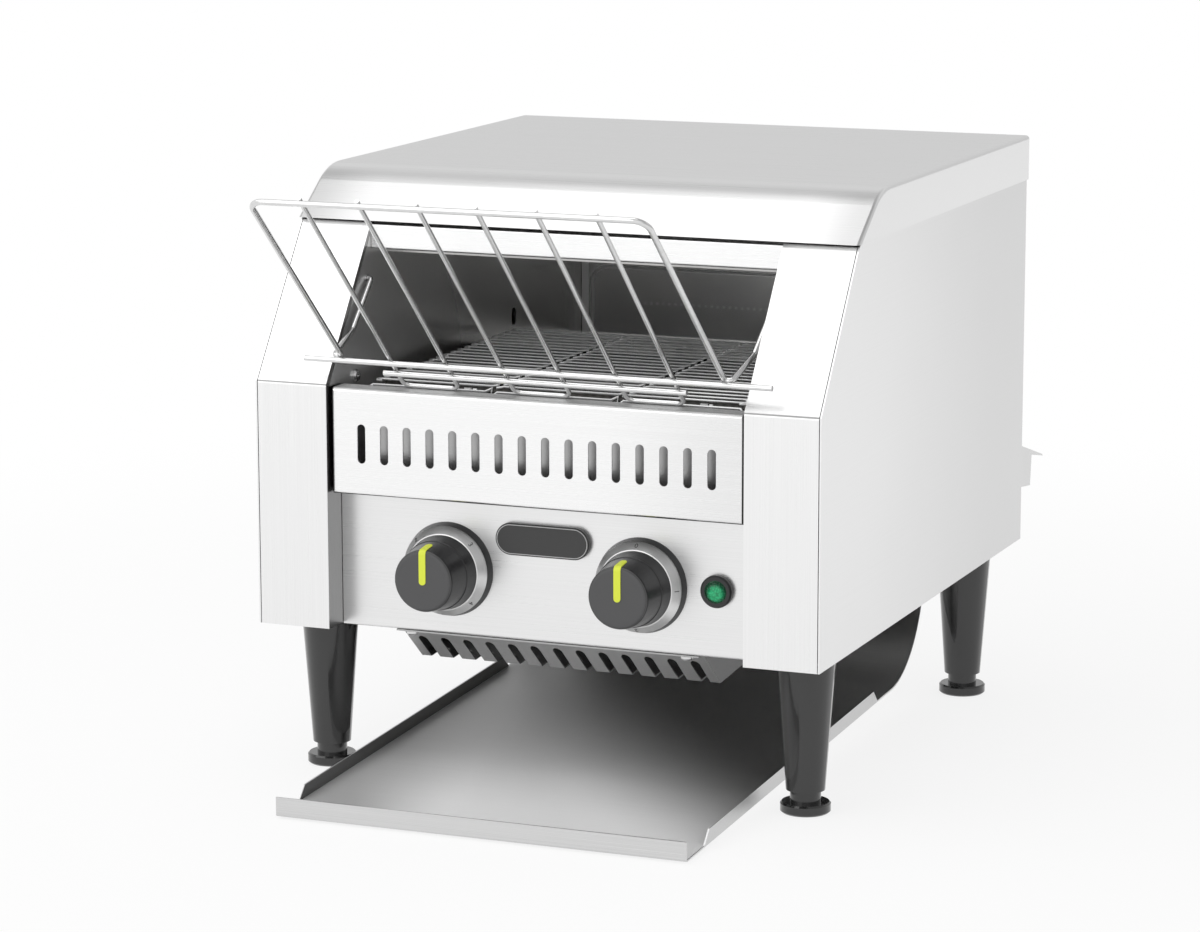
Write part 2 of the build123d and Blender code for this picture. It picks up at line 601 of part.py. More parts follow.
def bottom_vent_cover():
    """Slotted hood under the control bay: a sloping face, a floor and two side gussets."""
    top_z = PANEL_BOTTOM - SEAM - SHEET
    line = [(PANEL_Y + SHEET, top_z), (COVER_TOP_Y, top_z), (COVER_LOW_Y, COVER_LOW_Z),
            (BAY_REAR_Y, COVER_REAR_Z)]
    cover = folded(line, (-COVER_HALF, COVER_HALF), COVER_BEND_R)
    gusset = prism([(COVER_TOP_Y, top_z), (COVER_LOW_Y, COVER_LOW_Z), (BAY_REAR_Y, COVER_REAR_Z),
                    (BAY_REAR_Y, BAY_FLOOR - SEAM), (PANEL_Y + PANEL_HEM + SEAM, BAY_FLOOR - SEAM),
                    (PANEL_Y + PANEL_HEM + SEAM, top_z)],
                   (COVER_HALF - SHEET, COVER_HALF))
    for piece in both_sides(gusset):
        cover += piece
    first = -(COVER_SLOTS - 1) * COVER_SLOT_PITCH / 2
    cut_top = COVER_SLOT_TOP_Z - COVER_SLOT_W / 2
    for i in range(COVER_SLOTS):
        x = first + i * COVER_SLOT_PITCH
        cover -= block((x - COVER_SLOT_W / 2, x + COVER_SLOT_W / 2),
                       (COVER_TOP_Y, COVER_SLOT_REAR_Y), (COVER_LOW_Z - SHEET, cut_top))
        cover -= bar((x, COVER_TOP_Y, cut_top), (x, COVER_LOW_Y, cut_top), COVER_SLOT_W)
    return bored(cover, COVER_SCREWS)


def control_bay():
    """Sheet that closes the control bay below, behind and above; the fan draws through it."""
    half = CHAMBER_HALF - SEAM
    bay = folded([(PANEL_Y + SHEET + SEAM, BAY_FLOOR), (BAY_REAR_Y, BAY_FLOOR),
                  (BAY_REAR_Y, BAY_TOP), (PANEL_Y + SHEET + SEAM, BAY_TOP)],
                 (-half, half), SHEET * 1.5)
    bay -= bar((0, FAN_Y, BAY_FLOOR - SHEET), (0, FAN_Y, BAY_FLOOR + 2 * SHEET), FAN_BORE_D)
    return bored(bay, COVER_SCREWS)


# ================================================================ controls

def dial_plate(x):
    """Round plate behind a knob, its face sloping inwards to the knob's rim."""
    return turned([(DIAL_HOLE_D / 2, 0), (DIAL_D / 2, 0), (DIAL_FACE_D / 2, DIAL_DISC_T),
                   (DIAL_INNER_D / 2, DIAL_T), (DIAL_HOLE_D / 2, DIAL_T)],
                  (x, PANEL_Y, KNOB_Z), (0, -1, 0))


def knob_blank(x, grow=0.0):
    """Tapered knob with a shallow step and a rounded rim; grow thickens it for the pointer."""
    base_y = PANEL_Y - DIAL_T - KNOB_GAP
    top = base_y - KNOB_FACE_Y + grow
    step = base_y - KNOB_STEP_Y
    step_r = KNOB_BASE_D / 2 + (KNOB_FACE_D - KNOB_BASE_D) / 2 * step / (base_y - KNOB_FACE_Y)
    line = FilletPolyline((0, 0), (KNOB_BASE_D / 2 + grow, 0), (step_r + grow, step),
                          (step_r + grow - KNOB_STEP, step + KNOB_STEP),
                          (KNOB_FACE_D / 2 + grow, top), (0, top),
                          radius=[0, 0, 0, KNOB_RIM_R + grow])
    face = make_face(Wire(line.edges() + [Line((0, top), (0, 0)).edge()]))
    level = Plane(origin=(x, base_y, KNOB_Z), x_dir=(1, 0, 0), z_dir=(0, 0, 1))
    return revolve(level * mirror(face, Plane.XZ), Axis((x, base_y, KNOB_Z), (0, 1, 0)), 360)


def spindle_y():
    """Front and rear ends of a control spindle."""
    base_y = PANEL_Y - DIAL_T - KNOB_GAP
    return base_y - SPINDLE_IN_KNOB, PANEL_Y + SHEET + SPINDLE_IN_BODY


def knob(x):
    """Knob with a blind bore for its spindle."""
    base_y = PANEL_Y - DIAL_T - KNOB_GAP
    front = spindle_y()[0] - RUN_FIT
    return knob_blank(x) - bar((x, front, KNOB_Z), (x, base_y + 1, KNOB_Z),
                               SPINDLE_D + 2 * RUN_FIT)


def pointer(x):
    """Coloured line from the middle of the knob's face over its rim and part way back."""
    front = KNOB_FACE_Y - 2 * POINTER_PROUD
    rear = KNOB_FACE_Y + POINTER_BACK - POINTER_W / 2
    high = KNOB_Z + KNOB_BASE_D
    slab = block((x - POINTER_W / 2, x + POINTER_W / 2), (front, rear), (KNOB_Z, high))
    slab += bar((x, rear, KNOB_Z), (x, rear, high), POINTER_W)
    slab += bar((x, front, KNOB_Z), (x, rear, KNOB_Z), POINTER_W)
    return (knob_blank(x, POINTER_PROUD) & slab) - knob_blank(x)


def spindle(x):
    """Spindle that the knob turns."""
    front, rear = spindle_y()
    return bar((x, front, KNOB_Z), (x, rear, KNOB_Z), SPINDLE_D)


def control_bush(x, body):
    """Body of a control behind the panel, its bush through the panel, bored for the spindle."""
    front = PANEL_Y - SEAM
    body += bar((x, front, KNOB_Z), (x, PANEL_Y + SHEET + 1, KNOB_Z), BUSH_D)
    return body - bar((x, front - 1, KNOB_Z), (x, spindle_y()[1] + RUN_FIT, KNOB_Z),
                      SPINDLE_D + 2 * RUN_FIT)


def speed_control():
    """Round rotary control with three tags."""
    back = PANEL_Y + SHEET
    body = bar((-KNOB_X, back, KNOB_Z), (-KNOB_X, back + SPEED_BODY_L, KNOB_Z), SPEED_BODY_D)
    for i in (-1, 0, 1):
        x = -KNOB_X + i * 6
        body += block((x - 1.5, x + 1.5), (back + 4, back + 5.5),
                      (KNOB_Z - SPEED_BODY_D / 2 - 8, KNOB_Z - SPEED_BODY_D / 2 + 2))
    return control_bush(-KNOB_X, body)


def selector_switch():
    """Cam switch for the heaters: a block with two rows of tags."""
    back = PANEL_Y + SHEET
    body = block((KNOB_X - SWITCH_W / 2, KNOB_X + SWITCH_W / 2), (back, back + SWITCH_L),
                 (KNOB_Z - SWITCH_H / 2, KNOB_Z + SWITCH_H / 2))
    for i in range(3):
        y = back + 8 + i * 11
        for low in (KNOB_Z - SWITCH_H / 2 - 6, KNOB_Z + SWITCH_H / 2 - 1):
            body += block((KNOB_X - 8, KNOB_X + 8), (y, y + 1.2), (low, low + 7))
    return control_bush(KNOB_X, body)


def badge_plate():
    """Bare stadium plate."""
    plane = Plane(origin=(0, PANEL_Y - BADGE_T, BADGE_Z), x_dir=(1, 0, 0), z_dir=(0, 1, 0))
    plate = extrude(plane * SlotOverall(BADGE_L, BADGE_H), BADGE_T)
    return fillet([e for e in plate.edges() if abs(e.center().Y - PANEL_Y + BADGE_T) < 0.1], 0.8)


def lamp_bezel():
    """Holder of the pilot lamp: a ring in front of the panel, a closed body behind it."""
    seat = LAMP_LENS_D / 2 + RUN_FIT
    rim = LAMP_BEZEL_D / 2
    return turned([(0, -LAMP_BODY_L), (LAMP_BODY_D / 2, -LAMP_BODY_L), (LAMP_BODY_D / 2, 0),
                   (rim, 0), (rim, LAMP_BEZEL_T - 1), (rim - 1, LAMP_BEZEL_T),
                   (seat, LAMP_BEZEL_T), (seat, 1.5), (0, 1.5)],
                  (LAMP_X, PANEL_Y, LAMP_Z), (0, -1, 0))


def lamp_lens():
    """Faceted domed lens: a low pyramid of flats on a round seat."""
    radius = LAMP_LENS_D / 2
    front = PANEL_Y - LAMP_BEZEL_T
    lens = bar((LAMP_X, PANEL_Y - 1.5, LAMP_Z), (LAMP_X, front, LAMP_Z), LAMP_LENS_D)
    plane = Plane(origin=(LAMP_X, front, LAMP_Z), x_dir=(1, 0, 0), z_dir=(0, -1, 0))
    dome = loft([plane * RegularPolygon(radius, 12),
                 plane.offset(LAMP_DOME * 0.7) * RegularPolygon(radius * 0.72, 12),
                 plane.offset(LAMP_DOME) * RegularPolygon(radius * 0.3, 12)], ruled=True)
    return lens + dome


def fan_frame():
    """Square fan housing; three struts at the bottom carry the rotor's pin."""
    half = FAN_FRAME / 2
    floor = BAY_FLOOR + SHEET
    frame = block((-half, half), (FAN_Y - half, FAN_Y + half), (floor, floor + FAN_HEIGHT))
    frame -= bar((0, FAN_Y, floor - 1), (0, FAN_Y, floor + FAN_HEIGHT + 1), FAN_BORE_D)
    for i in range(3):
        strut = block((0, FAN_BORE_D / 2 + 1), (-3, 3), (floor, floor + FAN_FLOOR))
        frame += Pos(0, FAN_Y, 0) * Rot(0, 0, 90 + i * 120) * strut
    frame += bar((0, FAN_Y, floor), (0, FAN_Y, floor + FAN_FLOOR), FAN_HUB_D)
    return frame + bar((0, FAN_Y, floor + FAN_FLOOR), (0, FAN_Y, floor + FAN_HEIGHT - 6),
                       FAN_PIN_D)


def fan_rotor():
    """Rotor: a cup on the pin with pitched blades."""
    low = BAY_FLOOR + SHEET + FAN_FLOOR + SEAM
    high = BAY_FLOOR + SHEET + FAN_HEIGHT - 2
    middle = (low + high) / 2
    ring = bar((0, FAN_Y, low), (0, FAN_Y, high), FAN_ROTOR_D)
    rotor = bar((0, FAN_Y, low), (0, FAN_Y, high), FAN_HUB_D)
    for i in range(FAN_BLADES):
        blade = Rot(FAN_BLADE_PITCH, 0, 0) * block((FAN_HUB_D / 2 - 2, FAN_ROTOR_D / 2 + 2),
                                                  (-11, 11), (-0.8, 0.8))
        rotor += (Pos(0, FAN_Y, middle) * Rot(0, 0, i * 360 / FAN_BLADES) * blade) & ring
    pin_top = BAY_FLOOR + SHEET + FAN_HEIGHT - 6
    return rotor - bar((0, FAN_Y, low - 1), (0, FAN_Y, pin_top + SEAM), FAN_PIN_D + 2 * RUN_FIT)


# ================================================================ chamber

def tube_places(reflector_y):
    """Where the tubes lie along the chamber: spread evenly over their reflector."""
    front, rear = reflector_y[0] + TUBE_INSET, reflector_y[1] - TUBE_INSET
    return [front + i * (rear - front) / (TUBE_COUNT - 1) for i in range(TUBE_COUNT)]


def chamber_wall(sign):
    """Wall between the chamber and a side compartment, pierced for tubes, shafts and hooks."""
    low_y = POST_RETURN + SEAM
    step = VENT_TOP + SEAM
    gap = SLOPE_RETURN + SEAM
    wall = prism([(low_y, BODY_BOTTOM), (low_y, step),
                  (slope_y(step) + gap / SLOPE_IN[0] + SHEET * 2, step),
                  (SLOPE_TOP_Y + gap * SLOPE_IN[0], SLOPE_TOP_Z + gap * SLOPE_IN[1]),
                  (INNER_CORNER_Y, INNER_TOP - SHEET), (DEPTH - SHEET - SEAM, INNER_TOP - SHEET),
                  (DEPTH - SHEET - SEAM, BODY_BOTTOM)], (CHAMBER_HALF, WALL_OUT))
    holes = [(y, z, TUBE_D + 2 * TUBE_HOLE_GAP) for places, z in
             ((UPPER_REFLECTOR_Y, UPPER_TUBE_Z), (LOWER_REFLECTOR_Y, LOWER_TUBE_Z))
             for y in tube_places(places)]
    holes += [(y, SHAFT_Z, BUSH_BARREL_D + 2 * RUN_FIT) for y in (IDLER_Y, DRIVE_Y)]
    holes += [(HOOK_Y, HOOK_Z, RACK_D + 2 * HOOK_HOLE_GAP)]
    holes += [(WALL_SCREW_Y, WALL_SCREW_Z, SCREW_D + 2 * SCREW_HOLE_GAP)]
    for y, z, diameter in holes:
        wall -= bar((CHAMBER_HALF - 1, y, z), (WALL_OUT + 1, y, z), diameter)
    keyhole = Plane(origin=(CHAMBER_HALF - 1, DEPTH - KEYHOLE_REAR_GAP, KEYHOLE_Z), x_dir=(0, 0, 1),
                    z_dir=(1, 0, 0))
    wall -= extrude(keyhole * SlotOverall(KEYHOLE_L, KEYHOLE_D), SHEET + 2)
    return wall if sign > 0 else mirror(wall, Plane.YZ)


def chamber_rear_wall():
    """Back of the chamber, drawn forward below into the chute that feeds the tray."""
    half = CHAMBER_HALF - SEAM
    return folded([(CHAMBER_REAR_Y, CHAMBER_TOP), (CHAMBER_REAR_Y, CHUTE_TOP_Z),
                   (CHAMBER_REAR_Y - CHUTE_REACH, CHUTE_LOW_Z)], (-half, half), SHEET * 8)


def tray_ledge():
    """Ledge at the rear that the tray's hanging lip lies on."""
    half = CHAMBER_HALF - SEAM
    return folded([(LEDGE_REAR_Y - LEDGE_REACH, LEDGE_Z - SHEET), (LEDGE_REAR_Y, LEDGE_Z - SHEET),
                   (LEDGE_REAR_Y, BODY_BOTTOM), (DEPTH - SHEET - SEAM, BODY_BOTTOM)],
                  (-half, half), SHEET * 1.5)


def reflector(ys, z, lip_z):
    """Shallow folded sheet over or under a row of heater tubes."""
    half = CHAMBER_HALF - SEAM
    side = Side.LEFT if lip_z < z else Side.RIGHT
    return folded([(ys[0], lip_z), (ys[0], z), (ys[1], z), (ys[1], lip_z)], (-half, half),
                  SHEET * 1.5, side)


def heater_tubes(places, z):
    """Quartz tubes across the chamber."""
    return [bar((-TUBE_END, y, z), (TUBE_END, y, z), TUBE_D) for y in places]


def end_cap(y, z):
    """Ceramic cap on a tube's end, outside the chamber wall."""
    low = WALL_OUT + SEAM
    cap = bar((low, y, z), (low + CAP_L, y, z), CAP_D)
    return cap - bar((low - 1, y, z), (TUBE_END + RUN_FIT, y, z), TUBE_D + 2 * RUN_FIT)


# ================================================================ belt and drive

def belt_loop(radius):
    """Side view of the belt's loop at a distance from the shafts' centres."""
    plane = Plane(origin=(0, (IDLER_Y + DRIVE_Y) / 2, SHAFT_Z), x_dir=(0, 1, 0),
                  z_dir=(1, 0, 0))
    return plane * SlotCenterToCenter(DRIVE_Y - IDLER_Y, 2 * radius)


def conveyor_belt():
    """Wire belt: cross rods held at an even pitch by four rows of links."""
    outer = belt_loop(BELT_WHEEL_R + BELT_LINK_T / 2)
    inner = belt_loop(BELT_WHEEL_R - BELT_LINK_T / 2)
    belt = None
    for x in (-BELT_LINK_OUTER, -BELT_LINK_INNER, BELT_LINK_INNER, BELT_LINK_OUTER):
        row = Pos(x - BELT_LINK_W / 2, 0, 0) * extrude(outer - inner, BELT_LINK_W)
        belt = row if belt is None else belt + row
    line = belt_loop(BELT_WHEEL_R).wire()
    count = round(line.length / BELT_ROD_PITCH)
    rods = []
    for i in range(count):
        spot = line.position_at(i / count)
        rods.append(bar((-BELT_HALF, spot.Y, spot.Z), (BELT_HALF, spot.Y, spot.Z), BELT_ROD_D))
    return belt + rods


def sprocket_disc(centre, teeth, tip_r, root_r, width):
    """Toothed disc across X, its teeth drawn as straight-sided points with flat tips."""
    points = []
    for i in range(teeth):
        for share, radius in ((-0.30, root_r), (-0.12, tip_r), (0.12, tip_r), (0.30, root_r)):
            angle = 2 * pi * (i + share) / teeth
            points.append((radius * cos(angle), radius * sin(angle)))
    plane = Plane(origin=(centre[0] - width / 2, centre[1], centre[2]), x_dir=(0, 1, 0),
                  z_dir=(1, 0, 0))
    return extrude(plane * make_face(Polyline(*points, close=True)), width)


def belt_sprockets(y):
    """Row of sprockets that carry the belt on one shaft."""
    tip_r = BELT_WHEEL_R - BELT_ROD_D / 2 - TIP_GAP
    row = []
    for x in (-BELT_SPROCKET_OUTER, -BELT_SPROCKET_INNER, 0, BELT_SPROCKET_INNER,
              BELT_SPROCKET_OUTER):
        disc = sprocket_disc((x, y, SHAFT_Z), BELT_SPROCKET_TEETH, tip_r, tip_r - 3.5,
                             BELT_SPROCKET_W)
        row.append(disc - bar((x - BELT_SPROCKET_W, y, SHAFT_Z), (x + BELT_SPROCKET_W, y, SHAFT_Z),
                              SHAFT_D + 2 * RUN_FIT))
    return row


def shaft_bush(y):
    """Flanged bush in a chamber wall."""
    bush = bar((CHAMBER_HALF - BUSH_INSIDE, y, SHAFT_Z), (WALL_OUT + WELD, y, SHAFT_Z),
               BUSH_BARREL_D)
    bush += bar((WALL_OUT + WELD, y, SHAFT_Z), (WALL_OUT + WELD + BUSH_FLANGE_T, y, SHAFT_Z),
                BUSH_FLANGE_D)
    return bush - bar((CHAMBER_HALF - BUSH_INSIDE - 1, y, SHAFT_Z),
                      (WALL_OUT + BUSH_FLANGE_T + 2, y, SHAFT_Z), SHAFT_D + 2 * RUN_FIT)


def chain_pitch_r(teeth):
    """Radius of the circle on which the chain's rollers lie round a wheel."""
    return CHAIN_PITCH / (2 * sin(pi / teeth))


def chain_tip_r(teeth):
    """Tooth tips stay just inside the rollers, since the drawn chain stands still."""
    return chain_pitch_r(teeth) - CHAIN_ROLLER_D / 2 - TIP_GAP


def chain_wheel():
    """Large chain wheel with its hub, on the end of the drive shaft."""
    centre = (CHAIN_X, DRIVE_Y, SHAFT_Z)
    tip_r = chain_tip_r(WHEEL_TEETH)
    wheel = sprocket_disc(centre, WHEEL_TEETH, tip_r, tip_r - 1.6, TOOTH_W)
    low = WALL_OUT + BUSH_FLANGE_T + 2 * SEAM
    wheel += bar((low, DRIVE_Y, SHAFT_Z), (CHAIN_X, DRIVE_Y, SHAFT_Z), WHEEL_HUB_D)
    return wheel - bar((low - 1, DRIVE_Y, SHAFT_Z), (CHAIN_X + 5, DRIVE_Y, SHAFT_Z),
                       SHAFT_D + 2 * RUN_FIT)


def motor_sprocket():
    """Small chain wheel in one piece with the gear motor's output shaft."""
    centre = (CHAIN_X, MOTOR_Y, MOTOR_Z)
    tip_r = chain_tip_r(PINION_TEETH)
    wheel = sprocket_disc(centre, PINION_TEETH, tip_r, tip_r - 1.6, TOOTH_W)
    return wheel + bar((CHAIN_X - TOOTH_W, MOTOR_Y, MOTOR_Z),
                       (BRACKET_X + BRACKET_T + GEARBOX_L / 2, MOTOR_Y, MOTOR_Z), MOTOR_SHAFT_D)


def chain_line(grow):
    """Side view of the chain's loop round both wheels, grown or shrunk."""
    plane = Plane(origin=(CHAIN_X, 0, 0), x_dir=(0, 1, 0), z_dir=(1, 0, 0))
    big = Pos(DRIVE_Y, SHAFT_Z) * Circle(chain_pitch_r(WHEEL_TEETH) + grow)
    small = Pos(MOTOR_Y, MOTOR_Z) * Circle(chain_pitch_r(PINION_TEETH) + grow)
    return plane * make_hull(big.edges() + small.edges())


def drive_chain():
    """Roller chain as two rows of side plates with rollers between them."""
    inside = CHAIN_ROLLER_W / 2
    band = chain_line(CHAIN_PLATE_H / 2) - chain_line(-CHAIN_PLATE_H / 2)
    chain = Pos(inside, 0, 0) * extrude(band, CHAIN_PLATE_T)
    chain += Pos(-inside - CHAIN_PLATE_T, 0, 0) * extrude(band, CHAIN_PLATE_T)
    line = chain_line(0).wire()
    count = round(line.length / CHAIN_PITCH)
    rollers = []
    for i in range(count):
        spot = line.position_at(i / count)
        rollers.append(bar((CHAIN_X - inside - CHAIN_PLATE_T / 2, spot.Y, spot.Z),
                           (CHAIN_X + inside + CHAIN_PLATE_T / 2, spot.Y, spot.Z),
                           CHAIN_ROLLER_D))
    return chain + rollers


def gearmotor():
    """Flat gearbox with the motor can behind it, bored for the output shaft."""
    face = BRACKET_X + BRACKET_T
    body = bar((face, MOTOR_Y, MOTOR_Z), (face + GEARBOX_L, MOTOR_Y, MOTOR_Z), GEARBOX_D)
    body += bar((face + GEARBOX_L, MOTOR_Y, MOTOR_Z), (face + GEARBOX_L + MOTOR_L, MOTOR_Y, MOTOR_Z),
                MOTOR_D)
    return body - bar((face - 1, MOTOR_Y, MOTOR_Z),
                      (face + GEARBOX_L / 2 + SEAM, MOTOR_Y, MOTOR_Z),
                      MOTOR_SHAFT_D + 2 * RUN_FIT)


def motor_bracket():
    """Hat-shaped bracket that holds the gear motor off the chamber wall."""
    zs = (BRACKET_TOP_Z - 2 * BRACKET_HALF_Z, BRACKET_TOP_Z)
    face_x = (BRACKET_X, BRACKET_X + BRACKET_T)
    bracket = block(face_x, (MOTOR_Y - BRACKET_HALF_Y, MOTOR_Y + BRACKET_HALF_Y), zs)
    for sign in (-1, 1):
        edge = MOTOR_Y + sign * BRACKET_HALF_Y
        leg = sorted((edge, edge - sign * BRACKET_T))
        foot = sorted((edge - sign * BRACKET_T, edge + sign * BRACKET_FOOT))
        bracket += block((WALL_OUT + WELD, face_x[1]), leg, zs)
        bracket += block((WALL_OUT + WELD, WALL_OUT + WELD + BRACKET_T), foot, zs)
    return bracket - bar((face_x[0] - 1, MOTOR_Y, MOTOR_Z), (face_x[1] + 1, MOTOR_Y, MOTOR_Z),
                         MOTOR_SHAFT_D + 2)


# ================================================================ electrics

def speed_board():
    """Circuit board on stand-offs at the left chamber wall, with its larger parts."""
    back = -WALL_OUT - WELD - BOARD_STAND
    board = block((back - BOARD_T, back), BOARD_Y, BOARD_Z)
    for y in (BOARD_Y[0] + BOARD_STAND_INSET, BOARD_Y[1] - BOARD_STAND_INSET):
        for z in (BOARD_Z[0] + BOARD_STAND_INSET, BOARD_Z[1] - BOARD_STAND_INSET):
            board += bar((back, y, z), (back + BOARD_STAND, y, z), BOARD_STAND_D)
    front = back - BOARD_T
    low_z = BOARD_Z[0] + CHIP_MARGIN
    chip_y = BOARD_Y[0] + CHIP_MARGIN
    for out, along, tall in (TRANSFORMER, RELAY):
        board += block((front - out, front), (chip_y, chip_y + along), (low_z, low_z + tall))
        chip_y += along + CHIP_MARGIN
    for i in range(3):
        y = BOARD_Y[0] + CAPACITOR_PITCH * (i + 1)
        z = BOARD_Z[1] - CAPACITOR_PITCH
        board += bar((front, y, z), (front - CAPACITOR_L, y, z), CAPACITOR_D)
    return board


def terminal_block():
    """Screw terminal strip on the floor of the left compartment."""
    low = BODY_BOTTOM + SHEET
    strip = block((-REAR_PART_X - TERMINAL_W / 2, -REAR_PART_X + TERMINAL_W / 2), TERMINAL_Y,
                  (low, low + TERMINAL_H))
    ways = 4
    pitch = (TERMINAL_Y[1] - TERMINAL_Y[0]) / ways
    for i in range(ways):
        y = TERMINAL_Y[0] + pitch * (i + 0.5)
        strip -= bar((-REAR_PART_X, y, low + TERMINAL_H - TERMINAL_SCREW_D),
                     (-REAR_PART_X, y, low + TERMINAL_H + SHEET), TERMINAL_SCREW_D)
    return strip


def cable_gland():
    """Cable gland through the rear panel: outer hexagon, thread, inner nut, open bore."""
    inner = DEPTH - SHEET - WELD
    plane = Plane(origin=(-REAR_PART_X, DEPTH + WELD, GLAND_Z), x_dir=(1, 0, 0), z_dir=(0, 1, 0))
    gland = extrude(plane * RegularPolygon(GLAND_HEX / 2, 6), GLAND_OUT / 2)
    gland += bar((-REAR_PART_X, DEPTH, GLAND_Z), (-REAR_PART_X, DEPTH + GLAND_OUT, GLAND_Z),
                 GLAND_THREAD_D)
    gland += bar((-REAR_PART_X, inner - GLAND_NUT_T - 3, GLAND_Z),
                 (-REAR_PART_X, DEPTH + 1, GLAND_Z), GLAND_THREAD_D)
    nut = Plane(origin=(-REAR_PART_X, inner, GLAND_Z), x_dir=(1, 0, 0), z_dir=(0, -1, 0))
    gland += extrude(nut * RegularPolygon(GLAND_HEX / 2, 6), GLAND_NUT_T)
    return gland - bar((-REAR_PART_X, inner - GLAND_NUT_T - 5, GLAND_Z),
                       (-REAR_PART_X, DEPTH + GLAND_OUT + 1, GLAND_Z), GLAND_BORE_D)


# ================================================================ legs and feet

def leg(x, y):
    """Moulded leg with a stud on top and a bore for the adjustable foot."""
    top = BODY_BOTTOM
    solid = turned([(0, LEG_LOW_Z), (LEG_LOW_D / 2, LEG_LOW_Z), (LEG_TOP_D / 2, top - LEG_FLANGE_T),
                    (LEG_FLANGE_D / 2, top - LEG_FLANGE_T), (LEG_FLANGE_D / 2, top),
                    (LEG_STUD_D / 2, top), (LEG_STUD_D / 2, LEG_STUD_TOP), (0, LEG_STUD_TOP)],
                   (x, y, 0), (0, 0, 1))
    return solid - bar((x, y, LEG_LOW_Z - 1), (x, y, FOOT_STUD_TOP + 1),
                       FOOT_STUD_D + 2 * RUN_FIT)


def foot(x, y):
    """Screw-in foot: pad, collar and threaded stud."""
    collar = LEG_LOW_Z - FOOT_STOP
    return turned([(0, 0), (FOOT_D / 2 - FOOT_EDGE_R, 0), (FOOT_D / 2, FOOT_EDGE_R),
                   (FOOT_D / 2, FOOT_T - FOOT_EDGE_R), (FOOT_D / 2 - FOOT_EDGE_R, FOOT_T),
                   (FOOT_NECK_D / 2, FOOT_T), (FOOT_NECK_D / 2, collar), (FOOT_STUD_D / 2, collar),
                   (FOOT_STUD_D / 2, FOOT_STUD_TOP), (0, FOOT_STUD_TOP)], (x, y, 0), (0, 0, 1))


# ================================================================ feed rack

def rack_frame_ways():
    """Unit vectors of the rack's slope: down along the wires, and square to them."""
    down = Vector(0, RACK_REST_Y - RACK_TOP_Y, RACK_REST_Z - RACK_TOP_Z).normalized()
    return down, Vector(0, -down.Z, down.Y)


def rack_frame():
    """Frame wire: top bar, both sides, a short run on the long bar, and hooks in the walls."""
    square = rack_frame_ways()[1]
    low = Vector(0, RACK_REST_Y, RACK_REST_Z) + square * (RACK_D + WELD)
    right = [(CHAMBER_HALF - RACK_TOP_INSET, RACK_TOP_Y, RACK_TOP_Z),
             (RACK_LOW_HALF - RACK_LOW_RUN, low.Y, low.Z), (RACK_LOW_HALF, low.Y, low.Z),
             (CHAMBER_HALF - HOOK_KNEE_INSET, HOOK_KNEE_Y, HOOK_Z - HOOK_KNEE_DROP),
             (CHAMBER_HALF - HOOK_TOP_INSET, HOOK_Y, HOOK_Z),
             (CHAMBER_HALF + HOOK_THROUGH, HOOK_Y, HOOK_Z)]
    left = [(-x, y, z) for x, y, z in reversed(right)]
    bends = [RACK_CORNER_R, RACK_LOW_R, RACK_LOW_R, RACK_D, RACK_D * 0.7]
    return wire_form(left + right, bends[::-1] + bends, RACK_D)


def rack_bars():
    """Long bar in front of both slopes, and the shorter bar below it."""
    down = rack_frame_ways()[0]
    low = Vector(0, RACK_REST_Y, RACK_REST_Z) + down * RACK_CROSS_DROP
    return [bar((-CHAMBER_HALF - RACK_REST_LEFT, RACK_REST_Y, RACK_REST_Z),
                (CHAMBER_HALF + RACK_REST_RIGHT, RACK_REST_Y, RACK_REST_Z), RACK_D),
            bar((-RACK_CROSS_HALF, low.Y, low.Z), (RACK_CROSS_HALF, low.Y, low.Z), RACK_D)]


def rack_wires():
    """Inner wires, bent in pairs; the bends at the bottom rest on the slotted panel."""
    down, square = rack_frame_ways()
    lift = square * ((RACK_D + RACK_WIRE_D) / 2 + WELD)
    high = Vector(0, RACK_TOP_Y, RACK_TOP_Z) + lift - down * RACK_WIRE_TOP
    drop = high.Z - (VENT_TOP + RACK_SIT + RACK_WIRE_D / 2)
    low = high + down * (drop / -down.Z)
    forms = []
    for i in range(RACK_WIRE_PAIRS):
        left = RACK_WIRE_PITCH * (2 * i + 0.5 - RACK_WIRE_PAIRS)
        right = left + RACK_WIRE_PITCH
        forms.append(wire_form([(left, high.Y, high.Z), (left, low.Y, low.Z),
                                (right, low.Y, low.Z), (right, high.Y, high.Z)],
                               RACK_WIRE_BEND_R, RACK_WIRE_D))
    return forms


# ================================================================ collection tray

def tray_floor_z(y):
    """Underside of the tray's floor."""
    return TRAY_CLEAR + (y - TRAY_FRONT_Y) * tan(radians(TRAY_RISE))


